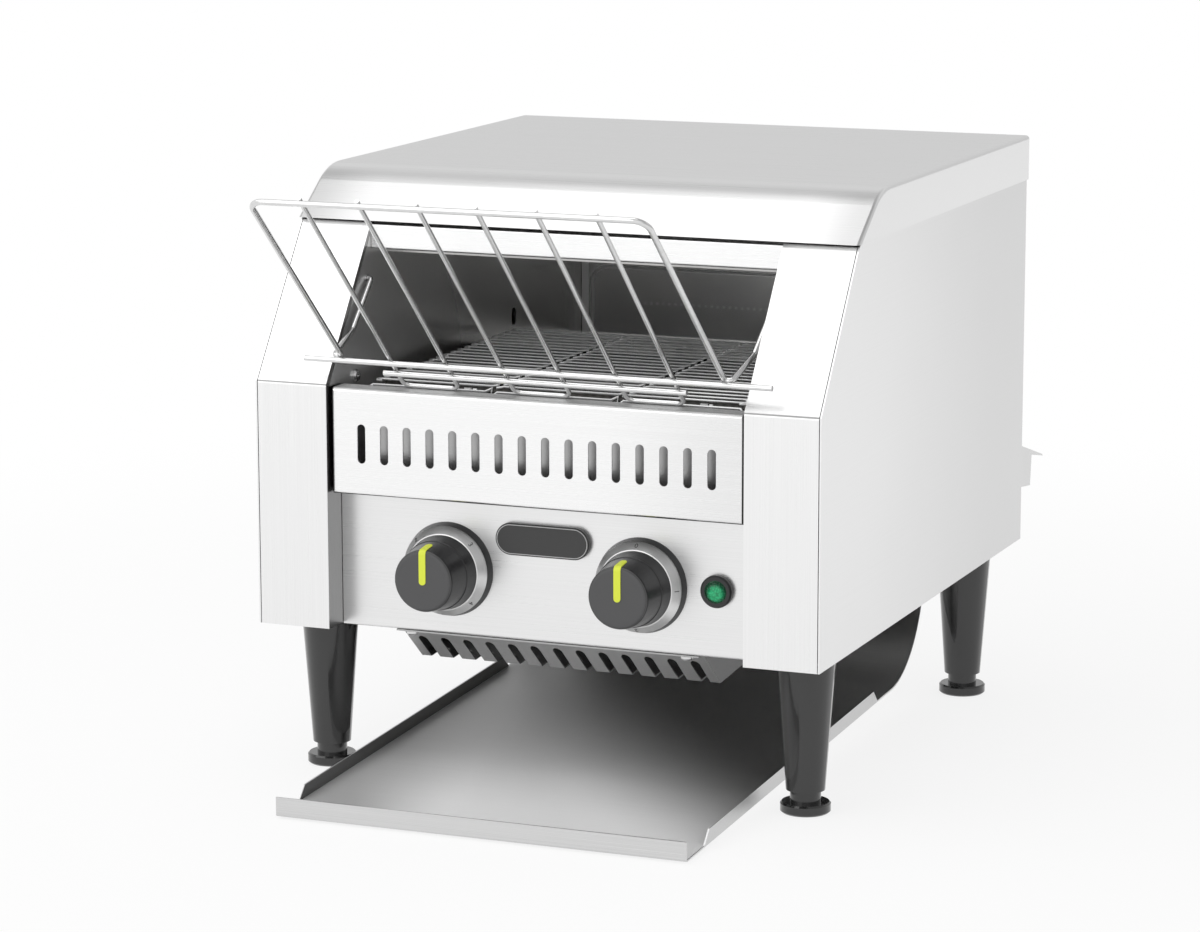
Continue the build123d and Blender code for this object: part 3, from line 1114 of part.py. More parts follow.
def collection_tray():
    """Tray from one sheet: front lip, rising floor, curved back and a hanging lip."""
    hang_z = LEDGE_Z + SEAM
    line = [(TRAY_FRONT_Y, TRAY_LIP_Z), (TRAY_FRONT_Y, TRAY_CLEAR),
            (TRAY_CORNER_Y, tray_floor_z(TRAY_CORNER_Y)), (TRAY_BACK_Y, hang_z),
            (TRAY_BACK_Y + TRAY_HANG_REACH, hang_z)]
    tray = folded(line, (-TRAY_HALF, TRAY_HALF), [TRAY_BEND_R, TRAY_CORNER_R, TRAY_BEND_R],
                  Side.LEFT)
    front, rear = TRAY_SIDE_FRONT, DEPTH - TRAY_SIDE_REAR_GAP
    floor_front, floor_rear = tray_floor_z(front), tray_floor_z(rear)
    side = prism([(front, floor_front), (front, floor_front + SHEET),
                  (front + TRAY_CHAMFER, tray_floor_z(front + TRAY_CHAMFER) + TRAY_SIDE_H),
                  (rear - TRAY_CHAMFER, tray_floor_z(rear - TRAY_CHAMFER) + TRAY_SIDE_H),
                  (rear, floor_rear + SHEET), (rear, floor_rear)],
                 (TRAY_HALF - SHEET, TRAY_HALF))
    for piece in both_sides(side):
        tray += piece
    return tray


# ================================================================ screws

def pan_screw(spot, way, length):
    """Pan-head screw: the spot is under the head, the way points from the head to its tip."""
    inward = Vector(*way)
    tip = Vector(*spot) + inward * length
    head = Vector(*spot) - inward * SCREW_HEAD_T
    rim = SCREW_HEAD_D / 2
    across = (0, 0, 1) if way[2] == 0 else (1, 0, 0)
    cap = turned([(0, 0), (rim, 0), (rim, SCREW_HEAD_T - 1.0), (rim - 0.9, SCREW_HEAD_T),
                  (0, SCREW_HEAD_T)], spot, tuple(-inward), across)
    drive = Plane(origin=tuple(head), z_dir=inward)
    recess = extrude(drive * (Rectangle(4.2, 0.9) + Rectangle(0.9, 4.2)), 1.0)
    return cap + bar(spot, tuple(tip), SCREW_D) - recess


def screws():
    """All the screws whose heads show."""
    tables = WALL_SCREWS + COVER_SCREWS + REAR_SCREWS + SPACER_SCREWS
    return [piece for spot, way, length in tables
            for piece in both_sides(pan_screw(spot, way, length))]


# ================================================================ assembly

keep("side_cover_right", side_cover())
keep("side_cover_left", mirror(side_cover(), Plane.YZ))
keep("front_post_right", front_post())
keep("front_post_left", mirror(front_post(), Plane.YZ))
keep("lid", lid())
keep("header_strip", header_strip())
keep("front_vent_panel", front_vent_panel())
keep("control_panel", control_panel())
keep("bottom_vent_cover", bottom_vent_cover())
keep("control_bay", control_bay())
keep("rear_panel", rear_panel())
keep("base_pans", *both_sides(base_pan()))
keep("rear_spacers", *both_sides(rear_spacer()))
keep("chamber_wall_right", chamber_wall(1))
keep("chamber_wall_left", chamber_wall(-1))
keep("chamber_rear_wall", chamber_rear_wall())
keep("tray_ledge", tray_ledge())
keep("upper_reflector",
     reflector(UPPER_REFLECTOR_Y, CHAMBER_TOP, CHAMBER_TOP - UPPER_REFLECTOR_H))
keep("lower_reflector", reflector(LOWER_REFLECTOR_Y, LOWER_REFLECTOR_Z, LOWER_REFLECTOR_LIP))
upper_tube_y, lower_tube_y = tube_places(UPPER_REFLECTOR_Y), tube_places(LOWER_REFLECTOR_Y)
keep("upper_heater_tubes", *heater_tubes(upper_tube_y, UPPER_TUBE_Z))
keep("lower_heater_tubes", *heater_tubes(lower_tube_y, LOWER_TUBE_Z))
keep("heater_end_caps", *[piece for places, z in ((upper_tube_y, UPPER_TUBE_Z),
                                                  (lower_tube_y, LOWER_TUBE_Z))
                          for y in places for piece in both_sides(end_cap(y, z))])
keep("conveyor_belt", conveyor_belt())
drive_low = WALL_OUT + BUSH_FLANGE_T + SHAFT_STUB
keep("drive_shaft", bar((-drive_low, DRIVE_Y, SHAFT_Z), (CHAIN_X + SHAFT_STUB, DRIVE_Y, SHAFT_Z),
                        SHAFT_D))
keep("idler_shaft", bar((-drive_low, IDLER_Y, SHAFT_Z), (drive_low, IDLER_Y, SHAFT_Z), SHAFT_D))
keep("drive_sprockets", *belt_sprockets(DRIVE_Y))
keep("idler_sprockets", *belt_sprockets(IDLER_Y))
keep("shaft_bushes", *both_sides(shaft_bush(DRIVE_Y)), *both_sides(shaft_bush(IDLER_Y)))
keep("chain_wheel", chain_wheel())
keep("motor_sprocket", motor_sprocket())
keep("drive_chain", drive_chain())
keep("gearmotor", gearmotor())
keep("motor_bracket", motor_bracket())
keep("dial_plates", dial_plate(-KNOB_X), dial_plate(KNOB_X))
for name, x in (("speed", -KNOB_X), ("selector", KNOB_X)):
    keep(f"{name}_knob", knob(x))
    keep(f"{name}_pointer", pointer(x))
    keep(f"{name}_spindle", spindle(x))
keep("speed_control", speed_control())
keep("selector_switch", selector_switch())
keep("badge_plate", badge_plate())
keep("lamp_bezel", lamp_bezel())
keep("lamp_lens", lamp_lens())
keep("fan_frame", fan_frame())
keep("fan_rotor", fan_rotor())
keep("speed_board", speed_board())
keep("terminal_block", terminal_block())
keep("cable_gland", cable_gland())
CORNERS = [(f"{front}_{side}", sign * LEG_X, y)
           for front, y in (("front", LEG_Y[0]), ("rear", LEG_Y[1]))
           for side, sign in (("left", -1), ("right", 1))]
keep("legs", *[leg(x, y) for _, x, y in CORNERS])
for name, x, y in CORNERS:
    keep(f"foot_{name}", foot(x, y))
keep("rack_frame", rack_frame())
keep("rack_bars", *rack_bars())
keep("rack_wires", *rack_wires())
keep("collection_tray", collection_tray())
keep("screws", *screws())

os.makedirs("parts", exist_ok=True)
for name, solids in NODES.items():
    placed = [Pos(0, -CENTRE_Y, 0) * solid for solid in solids]
    export_step(placed[0] if len(placed) == 1 else Compound(placed), f"parts/{name}.step")
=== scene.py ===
import bpy
from math import cos, pi, radians, sin
from mathutils import Matrix, Vector


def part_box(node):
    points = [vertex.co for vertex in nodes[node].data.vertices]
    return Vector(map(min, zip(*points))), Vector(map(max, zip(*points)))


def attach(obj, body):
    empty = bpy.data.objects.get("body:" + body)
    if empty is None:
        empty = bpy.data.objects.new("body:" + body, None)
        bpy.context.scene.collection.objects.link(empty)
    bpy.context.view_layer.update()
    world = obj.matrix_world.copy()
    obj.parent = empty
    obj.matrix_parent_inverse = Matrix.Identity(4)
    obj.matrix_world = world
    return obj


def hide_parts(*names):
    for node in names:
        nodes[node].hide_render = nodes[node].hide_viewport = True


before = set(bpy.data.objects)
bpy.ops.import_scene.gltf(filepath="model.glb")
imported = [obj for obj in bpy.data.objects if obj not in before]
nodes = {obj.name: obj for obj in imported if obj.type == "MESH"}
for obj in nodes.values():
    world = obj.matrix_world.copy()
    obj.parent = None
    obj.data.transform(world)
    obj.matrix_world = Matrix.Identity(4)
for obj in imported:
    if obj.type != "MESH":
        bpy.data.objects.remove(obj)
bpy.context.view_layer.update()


# ---------------------------------------------------------------- casing sheets
# The casing is stainless sheet, brushed in one direction on each panel and folded on a brake.
# The posts and the rear panel are brushed upright, the front panels and the lid across, and
# the side covers from front to rear.
class Wire:
    """One socket of a material.  Arithmetic on it adds Math nodes."""

    def __init__(self, paint, socket):
        self.paint, self.socket = paint, socket

    def maths(self, operation, first, second=None):
        return self.paint.add("ShaderNodeMath", {"operation": operation}, first, second)

    def __add__(self, other): return self.maths("ADD", self, other)
    def __radd__(self, other): return self.maths("ADD", other, self)
    def __sub__(self, other): return self.maths("SUBTRACT", self, other)
    def __rsub__(self, other): return self.maths("SUBTRACT", other, self)
    def __mul__(self, other): return self.maths("MULTIPLY", self, other)
    def __rmul__(self, other): return self.maths("MULTIPLY", other, self)
    def __truediv__(self, other): return self.maths("DIVIDE", self, other)
    def __gt__(self, other): return self.maths("GREATER_THAN", self, other)
    def __lt__(self, other): return self.maths("LESS_THAN", self, other)
    def __abs__(self): return self.maths("ABSOLUTE", self)
    def top(self, other): return self.maths("MAXIMUM", self, other)
    def fraction(self): return self.maths("FRACT", self)

    def away(self, other):
        """How far a point lies from the middle, from its way along two axes."""
        return self.maths("SQRT", self * self + other * other)


class Nodes:
    """A node tree to which nodes are added, one call for each."""

    def __init__(self, tree):
        self.tree = tree

    def join(self, value, socket):
        if isinstance(value, Wire):
            self.tree.links.new(value.socket, socket)
        elif value is not None:
            socket.default_value = value

    def add(self, kind, settings=None, *values, output=0, **named):
        """One node: its settings first, then its sockets by order or by name."""
        node = self.tree.nodes.new(kind)
        for key, value in (settings or {}).items():
            setattr(node, key, value)
        for value, socket in zip(values, node.inputs):
            self.join(value, socket)
        for key, value in named.items():
            self.join(value, node.inputs[key.replace("_", " ")])
        return Wire(self, node.outputs[output])

    def smooth(self, value, low, high):
        """0 below low and 1 above high, with a soft change between them."""
        return self.add("ShaderNodeMapRange", {"interpolation_type": "SMOOTHSTEP"}, value, low,
                        high)

    def parts(self, vector):
        """X, Y and Z of a vector."""
        split = self.add("ShaderNodeSeparateXYZ", None, vector)
        return [Wire(self, socket) for socket in split.socket.node.outputs]


def grey(level):
    return (level, level, level, 1.0)


class Paint(Nodes):
    """A material with one Principled shader."""

    def __init__(self, name, **sockets):
        self.material = bpy.data.materials.new(name)
        self.material.use_nodes = True
        super().__init__(self.material.node_tree)
        self.shader = self.tree.nodes["Principled BSDF"]
        self.set(**sockets)

    def set(self, **sockets):
        for key, value in sockets.items():
            self.join(value, self.shader.inputs[key.replace("_", " ")])

    def place(self, scale=(1, 1, 1)):
        """The surface's own place, in metres times a scale along each axis."""
        spot = self.add("ShaderNodeTexCoord", output="Object")
        return self.add("ShaderNodeVectorMath", {"operation": "MULTIPLY"}, spot, scale)

    def spot(self):
        """X, Y and Z of the surface's own place, in metres."""
        return self.parts(self.place())

    def facing(self):
        """X, Y and Z of the direction in which the surface faces."""
        return self.parts(self.add("ShaderNodeNewGeometry", output="Normal"))

    def noise(self, scale, detail=3.0, rough=0.55):
        return self.add("ShaderNodeTexNoise", None, Vector=self.place(scale), Scale=1.0,
                        Detail=detail, Roughness=rough)

    def mix(self, share, first, second):
        node = self.tree.nodes.new("ShaderNodeMix")
        node.data_type = "RGBA"
        self.join(share, node.inputs["Factor"])
        self.join(first, node.inputs[6])
        self.join(second, node.inputs[7])
        return Wire(self, node.outputs[2])

    def shade(self, level):
        """The grey of a level, from 0 for black to 1 for white."""
        return self.mix(level, grey(0.0), grey(1.0))

    def bump(self, height, depth, strength=1.0):
        return self.add("ShaderNodeBump", None, Height=height, Distance=depth,
                        Strength=strength)


MM = 0.001                 # in metres
LONG_GRAIN = 6.0           # brush marks to the metre along the grain
FINE_GRAIN = 2600.0        # and across it
GRAIN_TONE = 0.12          # how much the marks change the tone of a sheet
GRAIN_ROUGH = 0.16         # and its roughness
GRAIN_DEPTH = 0.02 * MM
REAR_SHADE_Y = -0.17, 0.22  # where a sheet's painted shade towards the rear starts, and is full


def scratches(paint, along):
    """Fine brush marks that run along X, Y or Z."""
    return paint.noise([LONG_GRAIN if axis == along else FINE_GRAIN for axis in "XYZ"], 4.0)


def sheet(name, rough, along, metallic=1.0):
    """Brushed sheet that has no tone yet, and its brush marks."""
    paint = Paint(name, Metallic=metallic)
    marks = scratches(paint, along)
    paint.set(Roughness=rough + (marks - 0.5) * GRAIN_ROUGH,
              Normal=paint.bump(marks, GRAIN_DEPTH, 0.6))
    return paint, marks


def brushed(name, level, rough, along, contrast=0.06, painted_rear_shade=0.0):
    """Brushed sheet of one grey with faint clouds, and painted shade that may darken it towards the
    rear.
    """
    paint, marks = sheet(name, rough, along)
    cloud = paint.noise((9, 9, 9), 2.0)
    tone = (marks * 0.75 + cloud * 0.25 - 0.5) * (2 * contrast) + level
    if painted_rear_shade:
        tone = tone - paint.smooth(paint.spot()[1], *REAR_SHADE_Y) * painted_rear_shade
    paint.set(Base_Color=paint.shade(tone))
    return paint.material


def dress(material, *names):
    """Give a material to solids of the part."""
    for name in names:
        node = nodes[name]
        node.data.materials.clear()
        node.data.materials.append(material)


dress(brushed("upright_steel", level=0.84, rough=0.30, along="Z"), "rear_panel")
dress(brushed("bright_steel", level=0.90, rough=0.26, along="X", contrast=0.03), "header_strip")
# The side covers carry painted shade, darker towards the rear.
dress(brushed("lengthwise_steel", level=0.84, rough=0.34, along="Y", contrast=0.05, painted_rear_shade=0.14),
      "side_cover_right", "side_cover_left")

# The control panel runs up behind the slotted panel, where it is painted darker as the shade seen
# through the slots.
PANEL_SHADE_Z = 0.184
panel, marks = sheet("across_steel", rough=0.30, along="X")
shade_behind_slots = panel.spot()[2] > PANEL_SHADE_Z
panel.set(Base_Color=panel.shade(marks * GRAIN_TONE + 0.74 - shade_behind_slots * 0.24))
dress(panel.material, "control_panel")

# The posts have a painted shade line where the slope is folded, and painted shade on their inner
# returns.
POST_FOLD_Z = 0.2515
POST_FOLD_HALF = 0.5 * MM
POST_OUTWARD = -0.09, -0.05            # X of place times X of facing: painted shade inward, and none elsewhere
post, marks = sheet("post_steel", rough=0.30, along="Z")
post_x, _, post_z = post.spot()
outside = post.smooth(post_x * post.facing()[0], *POST_OUTWARD)
fold_shade_line = abs(post_z - POST_FOLD_Z) < POST_FOLD_HALF
post.set(Base_Color=post.shade((marks * GRAIN_TONE + 0.78) * (0.40 + outside * 0.60)
                               * (1 - fold_shade_line * 0.65)))
dress(post.material, "front_post_right", "front_post_left")

# The lid's front bend is painted darker towards both ends, as shade at its ends.
LID_SHADE_ENDS = 45 * MM, 2 * MM            # in from an end: where the painted shade starts, and is full
LID_BEND_FACING = 0.25, 0.55           # how far forward it faces there
lid_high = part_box("lid")[1]
lid, marks = sheet("lid_steel", rough=0.30, along="X")
lid_end_shade = lid.smooth(abs(lid.spot()[0]), *(lid_high.x - inward for inward in LID_SHADE_ENDS))
lid_end_shade = lid_end_shade * lid.smooth(lid.facing()[1] * -1, *LID_BEND_FACING)
lid.set(Base_Color=lid.shade(marks * GRAIN_TONE + 0.74 - lid_end_shade * 0.22))
dress(lid.material, "lid")

# The slotted panel's folded top is blasted matt, its ends and lower edge carry painted shadow
# lines, and it is darker towards its right end.
VENT_SHADOW_END = 1.2 * MM
VENT_SHADOW_LOW = 0.9 * MM
VENT_DULL_X = 0.03, 0.134              # where it starts to dull, and is dull
VENT_TOP_FACING = 0.4, 0.8             # Z of facing: the front, and the top
vent_low, vent_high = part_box("front_vent_panel")
vent, marks = sheet("slotted_steel", rough=0.26, along="X")
vent_x, _, vent_z = vent.spot()
matt_top = vent.smooth(vent.facing()[2], *VENT_TOP_FACING)
shadow_line_edge = (abs(vent_x) > vent_high.x - VENT_SHADOW_END).top(vent_z < vent_low.z + VENT_SHADOW_LOW)
level = marks * (GRAIN_TONE / 2) + 0.87 - vent.smooth(vent_x, *VENT_DULL_X) * 0.10
vent.set(Base_Color=vent.shade(level - matt_top * 0.30 - shadow_line_edge * 0.70),
         Metallic=1 - matt_top * 0.85)
dress(vent.material, "front_vent_panel")


# ---------------------------------------------------------------- hood, spacers and inner sheets
# A slotted hood, folded from duller sheet, is fixed under the control bay and lets cooling air
# in.  The rear spacers are folded from the same sheet as the casing.  The bay, the floor pans,
# the motor's bracket and the tray's ledge are galvanised.
# The hood's inner faces are painted nearly black as shade.
HOOD_SHADE_FACING = -0.15, 0.05       # Y of facing: outer side, and inner side
hood, marks = sheet("hood_steel", rough=0.36, along="X", metallic=0.6)
hood_inner_shade = hood.smooth(hood.facing()[1], *HOOD_SHADE_FACING)
hood.set(Base_Color=hood.shade((marks * GRAIN_TONE + 0.36) * (1 - hood_inner_shade * 0.88)))
dress(hood.material, "bottom_vent_cover")
dress(brushed("spacer_steel", level=0.72, rough=0.38, along="X"), "rear_spacers")
dress(brushed("zinc_sheet", level=0.42, rough=0.42, along="Y", contrast=0.08),
      "control_bay", "base_pans", "motor_bracket", "tray_ledge")


# ---------------------------------------------------------------- chamber
# The walls are thinner stainless that the heaters have toned to a dull dark grey, with faint
# straw-coloured clouds near the tubes.  They are screwed between the two front posts and the
# rear panel.
TONED_DARK = grey(0.34)
TONED_STRAW = (0.62, 0.615, 0.60, 1)


def toned_sheet(name, rough):
    """Heated sheet that has no tone yet, with the share of straw and its rolling streaks."""
    paint = Paint(name, Metallic=1.0)
    tint = paint.noise((14, 14, 14), 4.0)
    streak = paint.noise((900, 900, LONG_GRAIN), 3.0)
    paint.set(Roughness=rough + tint * 0.14, Normal=paint.bump(streak, GRAIN_DEPTH, 0.5))
    return paint, tint * 0.6 + streak * 0.4, streak


reflector, straw, _ = toned_sheet("toned_steel", rough=0.22)
reflector.set(Base_Color=reflector.mix(straw, TONED_DARK, TONED_STRAW))
dress(reflector.material, "upper_reflector")

# The side walls are painted lighter low down at the front, as light falling in through the opening,
# and are less metallic and rougher there.
WALL_LIGHT_Y = -0.17, 0.14                  # painted light up to the first, and none from the second
WALL_LIGHT_Z = 0.22, 0.38
wall, straw, _ = toned_sheet("wall_steel", rough=0.22)
_, wall_y, wall_z = wall.spot()
wall_painted_light = (1 - wall.smooth(wall_y, *WALL_LIGHT_Y)) * (1 - wall.smooth(wall_z, *WALL_LIGHT_Z) * 0.6)
wall.set(Base_Color=wall.mix(wall_painted_light, wall.mix(straw, TONED_DARK, TONED_STRAW), grey(0.74)),
         Metallic=1 - wall_painted_light * 0.22, Roughness=0.24 + wall_painted_light * 0.12)
dress(wall.material, "chamber_wall_right", "chamber_wall_left")

# The rear wall has a pressed panel with rounded corners. Its rim and both corners carry painted
# highlights, and a row of small dots is painted bright as reflections of the slotted panel's slots.
PRESSED_HALF = 127.5 * MM
PRESSED_TOP = 272 * MM
PRESSED_R = 12 * MM
PRESSED_DEPTH = 1.6 * MM
PRESSED_EDGE = 1.2 * MM                # half the width over which the sheet is drawn
RIM_LINE = 0.4 * MM, 1.6 * MM          # from the rim: painted highlight up to the first, then fading
CORNER_X = 130.5 * MM                  # from here outwards the corners get painted highlight
DOT_PITCH = 4.5 * MM
DOT_R = 0.24                           # share of the pitch
DOT_Z = 247.5 * MM
DOTS_HALF = 94 * MM
rear_wall, straw, streak = toned_sheet("rear_wall_steel", rough=0.16)
wall_x, _, wall_z = rear_wall.spot()
over_x = (abs(wall_x) - (PRESSED_HALF - PRESSED_R)).top(0.0)
over_z = (wall_z - (PRESSED_TOP - PRESSED_R)).top(0.0)
rim = over_x.away(over_z) - PRESSED_R
pressed = 1 - rear_wall.smooth(rim, -PRESSED_EDGE, PRESSED_EDGE)
rim_highlight = (1 - rear_wall.smooth(abs(rim), *RIM_LINE)).top(abs(wall_x) > CORNER_X)
dot_x = (wall_x / DOT_PITCH).fraction() - 0.5
dot_z = (wall_z - DOT_Z) / DOT_PITCH
dot_highlights = (dot_x.away(dot_z) < DOT_R) * (abs(wall_x) < DOTS_HALF)
tone = rear_wall.mix(straw, grey(0.62), (0.90, 0.895, 0.88, 1))
tone = rear_wall.mix(dot_highlights, rear_wall.mix(rim_highlight * 0.7, tone, grey(0.95)), grey(0.95))
rear_wall.set(Base_Color=tone, Metallic=0.75 - rim_highlight * 0.4,
              Normal=rear_wall.bump(pressed + streak * 0.01, PRESSED_DEPTH, 0.8))
dress(rear_wall.material, "chamber_rear_wall")

# The lower reflector, under the belt, is painted nearly black as the shade seen between the belt's
# wires.
under_belt_shade = Paint("under_belt_shade_steel", Specular_IOR_Level=0.1)
shade_mottle = under_belt_shade.noise((60, 60, 60), 5.0, 0.7)
under_belt_shade.set(Base_Color=under_belt_shade.mix(shade_mottle, grey(0.010), (0.035, 0.032, 0.029, 1)),
          Roughness=0.75 + shade_mottle * 0.2, Normal=under_belt_shade.bump(shade_mottle, 0.4 * MM, 0.5))
dress(under_belt_shade.material, "lower_reflector")


# ---------------------------------------------------------------- heaters
# Quartz tubes show the heating coil faintly as close rings.  The upper ones are milky, and the
# lower ones are smoked by the crumbs that fall on them.  Bare ceramic caps hold their ends.
COIL_RINGS = 55.0          # how close the rings lie


def quartz(name, coil_colour, glass_colour, rough):
    """Glass tube with the rings of its coil showing through."""
    paint = Paint(name, Roughness=rough)
    coil = paint.add("ShaderNodeTexWave", {"wave_type": "BANDS", "bands_direction": "X"},
                     Vector=paint.place(), Scale=COIL_RINGS, Distortion=0.3)
    paint.set(Base_Color=paint.mix(coil, coil_colour, glass_colour))
    return paint.material


dress(quartz("milky_quartz", coil_colour=(0.62, 0.60, 0.56, 1),
             glass_colour=(0.86, 0.86, 0.83, 1), rough=0.18), "upper_heater_tubes")
dress(quartz("smoked_quartz", coil_colour=(0.030, 0.028, 0.025, 1),
             glass_colour=(0.060, 0.055, 0.050, 1), rough=0.50), "lower_heater_tubes")

ceramic = Paint("bare_ceramic", Roughness=0.62)
grit = ceramic.noise((900, 900, 900), 4.0)
ceramic.set(Base_Color=ceramic.mix(grit, (0.78, 0.75, 0.68, 1), (0.90, 0.88, 0.83, 1)),
            Normal=ceramic.bump(grit, 0.1 * MM, 0.5))
dress(ceramic.material, "heater_end_caps")


# ---------------------------------------------------------------- wire belt
# Each cross wire of the belt is cranked where it hooks over its neighbour, and is curled back
# at both ends.  The wires are drawn stainless; the returning run below is black with soot.
belt_low, belt_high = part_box("conveyor_belt")
BELT_WIRE_D = 1.6 * MM
BELT_CRANKS = -41.5 * MM, 41.5 * MM
BELT_CRANK_RUN = 4.0 * MM
BELT_CRANK_REACH = 0.46    # share of a pitch that a crank reaches forward and back
BELT_CURL_REACH = 0.42     # that a curled end reaches back
BELT_BEND_REACH = 0.2      # and that the bend before it reaches back
BELT_PITCH = 11.2 * MM
BELT_START = 0.3           # share of a pitch from the front top to the first wire
BELT_CURL_R = 2.2 * MM
BELT_LINE_IN = 1.0 * MM    # from the belt's surface to its middle line
BELT_END_X = belt_high.x - BELT_WIRE_D / 2
belt_line_r = (belt_high.z - belt_low.z) / 2 - BELT_LINE_IN
belt_front_y = belt_low.y + belt_line_r + BELT_LINE_IN
belt_rear_y = belt_high.y - belt_line_r - BELT_LINE_IN
belt_shaft_z = (belt_low.z + belt_high.z) / 2


def on_belt(run):
    """A place on the belt's loop: Y and Z, for a length run along it from the front top."""
    straight, arc = belt_rear_y - belt_front_y, pi * belt_line_r
    run %= 2 * (straight + arc)
    if run < straight:
        return belt_front_y + run, belt_shaft_z + belt_line_r
    if run < straight + arc:
        turn = (run - straight) / belt_line_r
        return belt_rear_y + belt_line_r * sin(turn), belt_shaft_z + belt_line_r * cos(turn)
    if run < 2 * straight + arc:
        return belt_rear_y - (run - straight - arc), belt_shaft_z - belt_line_r
    turn = (run - 2 * straight - arc) / belt_line_r
    return belt_front_y - belt_line_r * sin(turn), belt_shaft_z - belt_line_r * cos(turn)


def belt_curl():
    """From a cross wire's curled tip to its straight: (how far in from the end, share)."""
    return [(BELT_CURL_R * 2, -BELT_CURL_REACH), (BELT_CURL_R * 0.6, -BELT_CURL_REACH),
            (0.0, -BELT_BEND_REACH), (BELT_CURL_R * 0.6, 0.0)]


def belt_wire_runs():
    """Across the belt: (x, share of a pitch forward) down one cross wire."""
    runs = [(-BELT_END_X + inward, share) for inward, share in belt_curl()]
    for x in BELT_CRANKS:
        runs += [(x - BELT_CRANK_RUN, 0.0), (x - BELT_CRANK_RUN / 3, BELT_CRANK_REACH),
                 (x + BELT_CRANK_RUN / 3, -BELT_CRANK_REACH), (x + BELT_CRANK_RUN, 0.0)]
    return runs + [(BELT_END_X - inward, share) for inward, share in reversed(belt_curl())]


def wire_curve(name, lines, diameter, material, body):
    """Round wires as one curve object, one spline for each line of points."""
    curve = bpy.data.curves.new(name, "CURVE")
    curve.dimensions = "3D"
    curve.bevel_depth = diameter / 2
    curve.bevel_resolution = 3
    curve.use_fill_caps = True
    for line in lines:
        spline = curve.splines.new("POLY")
        spline.points.add(len(line) - 1)
        for point, place in zip(spline.points, line):
            point.co = (*place, 1)
        spline.use_smooth = True
    curve.materials.append(material)
    piece = bpy.data.objects.new(name, curve)
    bpy.context.scene.collection.objects.link(piece)
    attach(piece, body)
    return piece


# The belt is sooty up to just under the shafts' axes, and clean from a little over them.
SOOT_Z = belt_shaft_z - 4 * MM, belt_shaft_z + 10 * MM
belt_steel = Paint("belt_steel", Metallic=0.5)
soot = belt_steel.noise((160, 160, 160), 3.0)
return_run = 1 - belt_steel.smooth(belt_steel.spot()[2], *SOOT_Z)
upper_run = belt_steel.mix(soot, grey(0.76), grey(0.88))
belt_steel.set(Base_Color=belt_steel.mix(return_run, upper_run, grey(0.05)),
               Roughness=0.26 + soot * 0.08)
belt_length = 2 * (belt_rear_y - belt_front_y + pi * belt_line_r)
belt_count = round(belt_length / BELT_PITCH)
belt_pitch = belt_length / belt_count
belt = wire_curve("wire_belt", [[(x, *on_belt((i + share + BELT_START) * belt_pitch))
                                 for x, share in belt_wire_runs()] for i in range(belt_count)],
                  BELT_WIRE_D, belt_steel.material, "root")
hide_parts("conveyor_belt")


# ---------------------------------------------------------------- belt drive
# Turned steel shafts and stamped sprockets run in bronze bushes; a small geared motor drives
# them through a roller chain.
turned_steel = Paint("turned_steel", Metallic=1.0)
tool_marks = turned_steel.noise((2600, 40, 40), 3.0)
turned_steel.set(Base_Color=turned_steel.mix(tool_marks, grey(0.42), grey(0.60)),
                 Roughness=0.24 + tool_marks * 0.14)
dress(turned_steel.material, "drive_shaft", "idler_shaft", "drive_sprockets", "idler_sprockets",
      "chain_wheel", "motor_sprocket", "drive_chain", "speed_spindle", "selector_spindle")

bronze = Paint("bush_bronze", Metallic=1.0)
pores = bronze.noise((1500, 1500, 1500), 4.0)
bronze.set(Base_Color=bronze.mix(pores, (0.45, 0.30, 0.15, 1), (0.66, 0.49, 0.28, 1)),
           Roughness=0.34 + pores * 0.2)
dress(bronze.material, "shaft_bushes")

motor_paint = Paint("motor_paint", Metallic=0.2, Roughness=0.42)
peel = motor_paint.noise((500, 500, 500), 2.0)
motor_paint.set(Base_Color=motor_paint.mix(peel, grey(0.36), grey(0.46)),
                Normal=motor_paint.bump(peel, 0.08 * MM, 0.5))
dress(motor_paint.material, "gearmotor")


# ---------------------------------------------------------------- knobs
# The knobs are fine-grained charcoal mouldings with a yellow-green line let into them, pushed
# on to their spindles.  What sits behind the panel is plain black moulding.
def grained(name, low, high, rough):
    """Moulded plastic with a fine eroded grain."""
    paint = Paint(name)
    grain = paint.noise((2400, 2400, 2400), 3.0)
    cloud = paint.noise((22, 22, 22), 2.0)
    paint.set(Base_Color=paint.mix(cloud, low, high), Roughness=rough + (grain - 0.5) * 0.14,
              Normal=paint.bump(grain, 0.06 * MM, 0.6))
    return paint.material


# A knob's face is matt and its waist is smoother. The face is painted lighter than the waist as
# sheen, and a painted highlight runs round its rim.
KNOB_FACE_DEPTH = 0.2 * MM, 0.9 * MM   # matt down to the first, and smooth from the second
KNOB_RIM_R = 18.3 * MM, 18.9 * MM      # painted highlight from the second outwards
KNOB_RIM_DEPTH = 0.7 * MM, 1.3 * MM    # and down to the first
knob_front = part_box("speed_knob")[0].y
knob_low, knob_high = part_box("selector_knob")
knob_black = Paint("knob_charcoal")
grain = knob_black.noise((2600, 2600, 2600), 3.0)
knob_x, knob_y, knob_z = knob_black.spot()
depth = knob_y - knob_front
face = 1 - knob_black.smooth(depth, *KNOB_FACE_DEPTH)
off_x = abs(knob_x) - (knob_low.x + knob_high.x) / 2
off_z = knob_z - (knob_low.z + knob_high.z) / 2
knob_rim_highlight = knob_black.smooth(off_x.away(off_z), *KNOB_RIM_R) * (
    1 - knob_black.smooth(depth, *KNOB_RIM_DEPTH))
knob_tone = knob_black.mix(face, (0.016, 0.016, 0.017, 1), (0.066, 0.066, 0.068, 1))
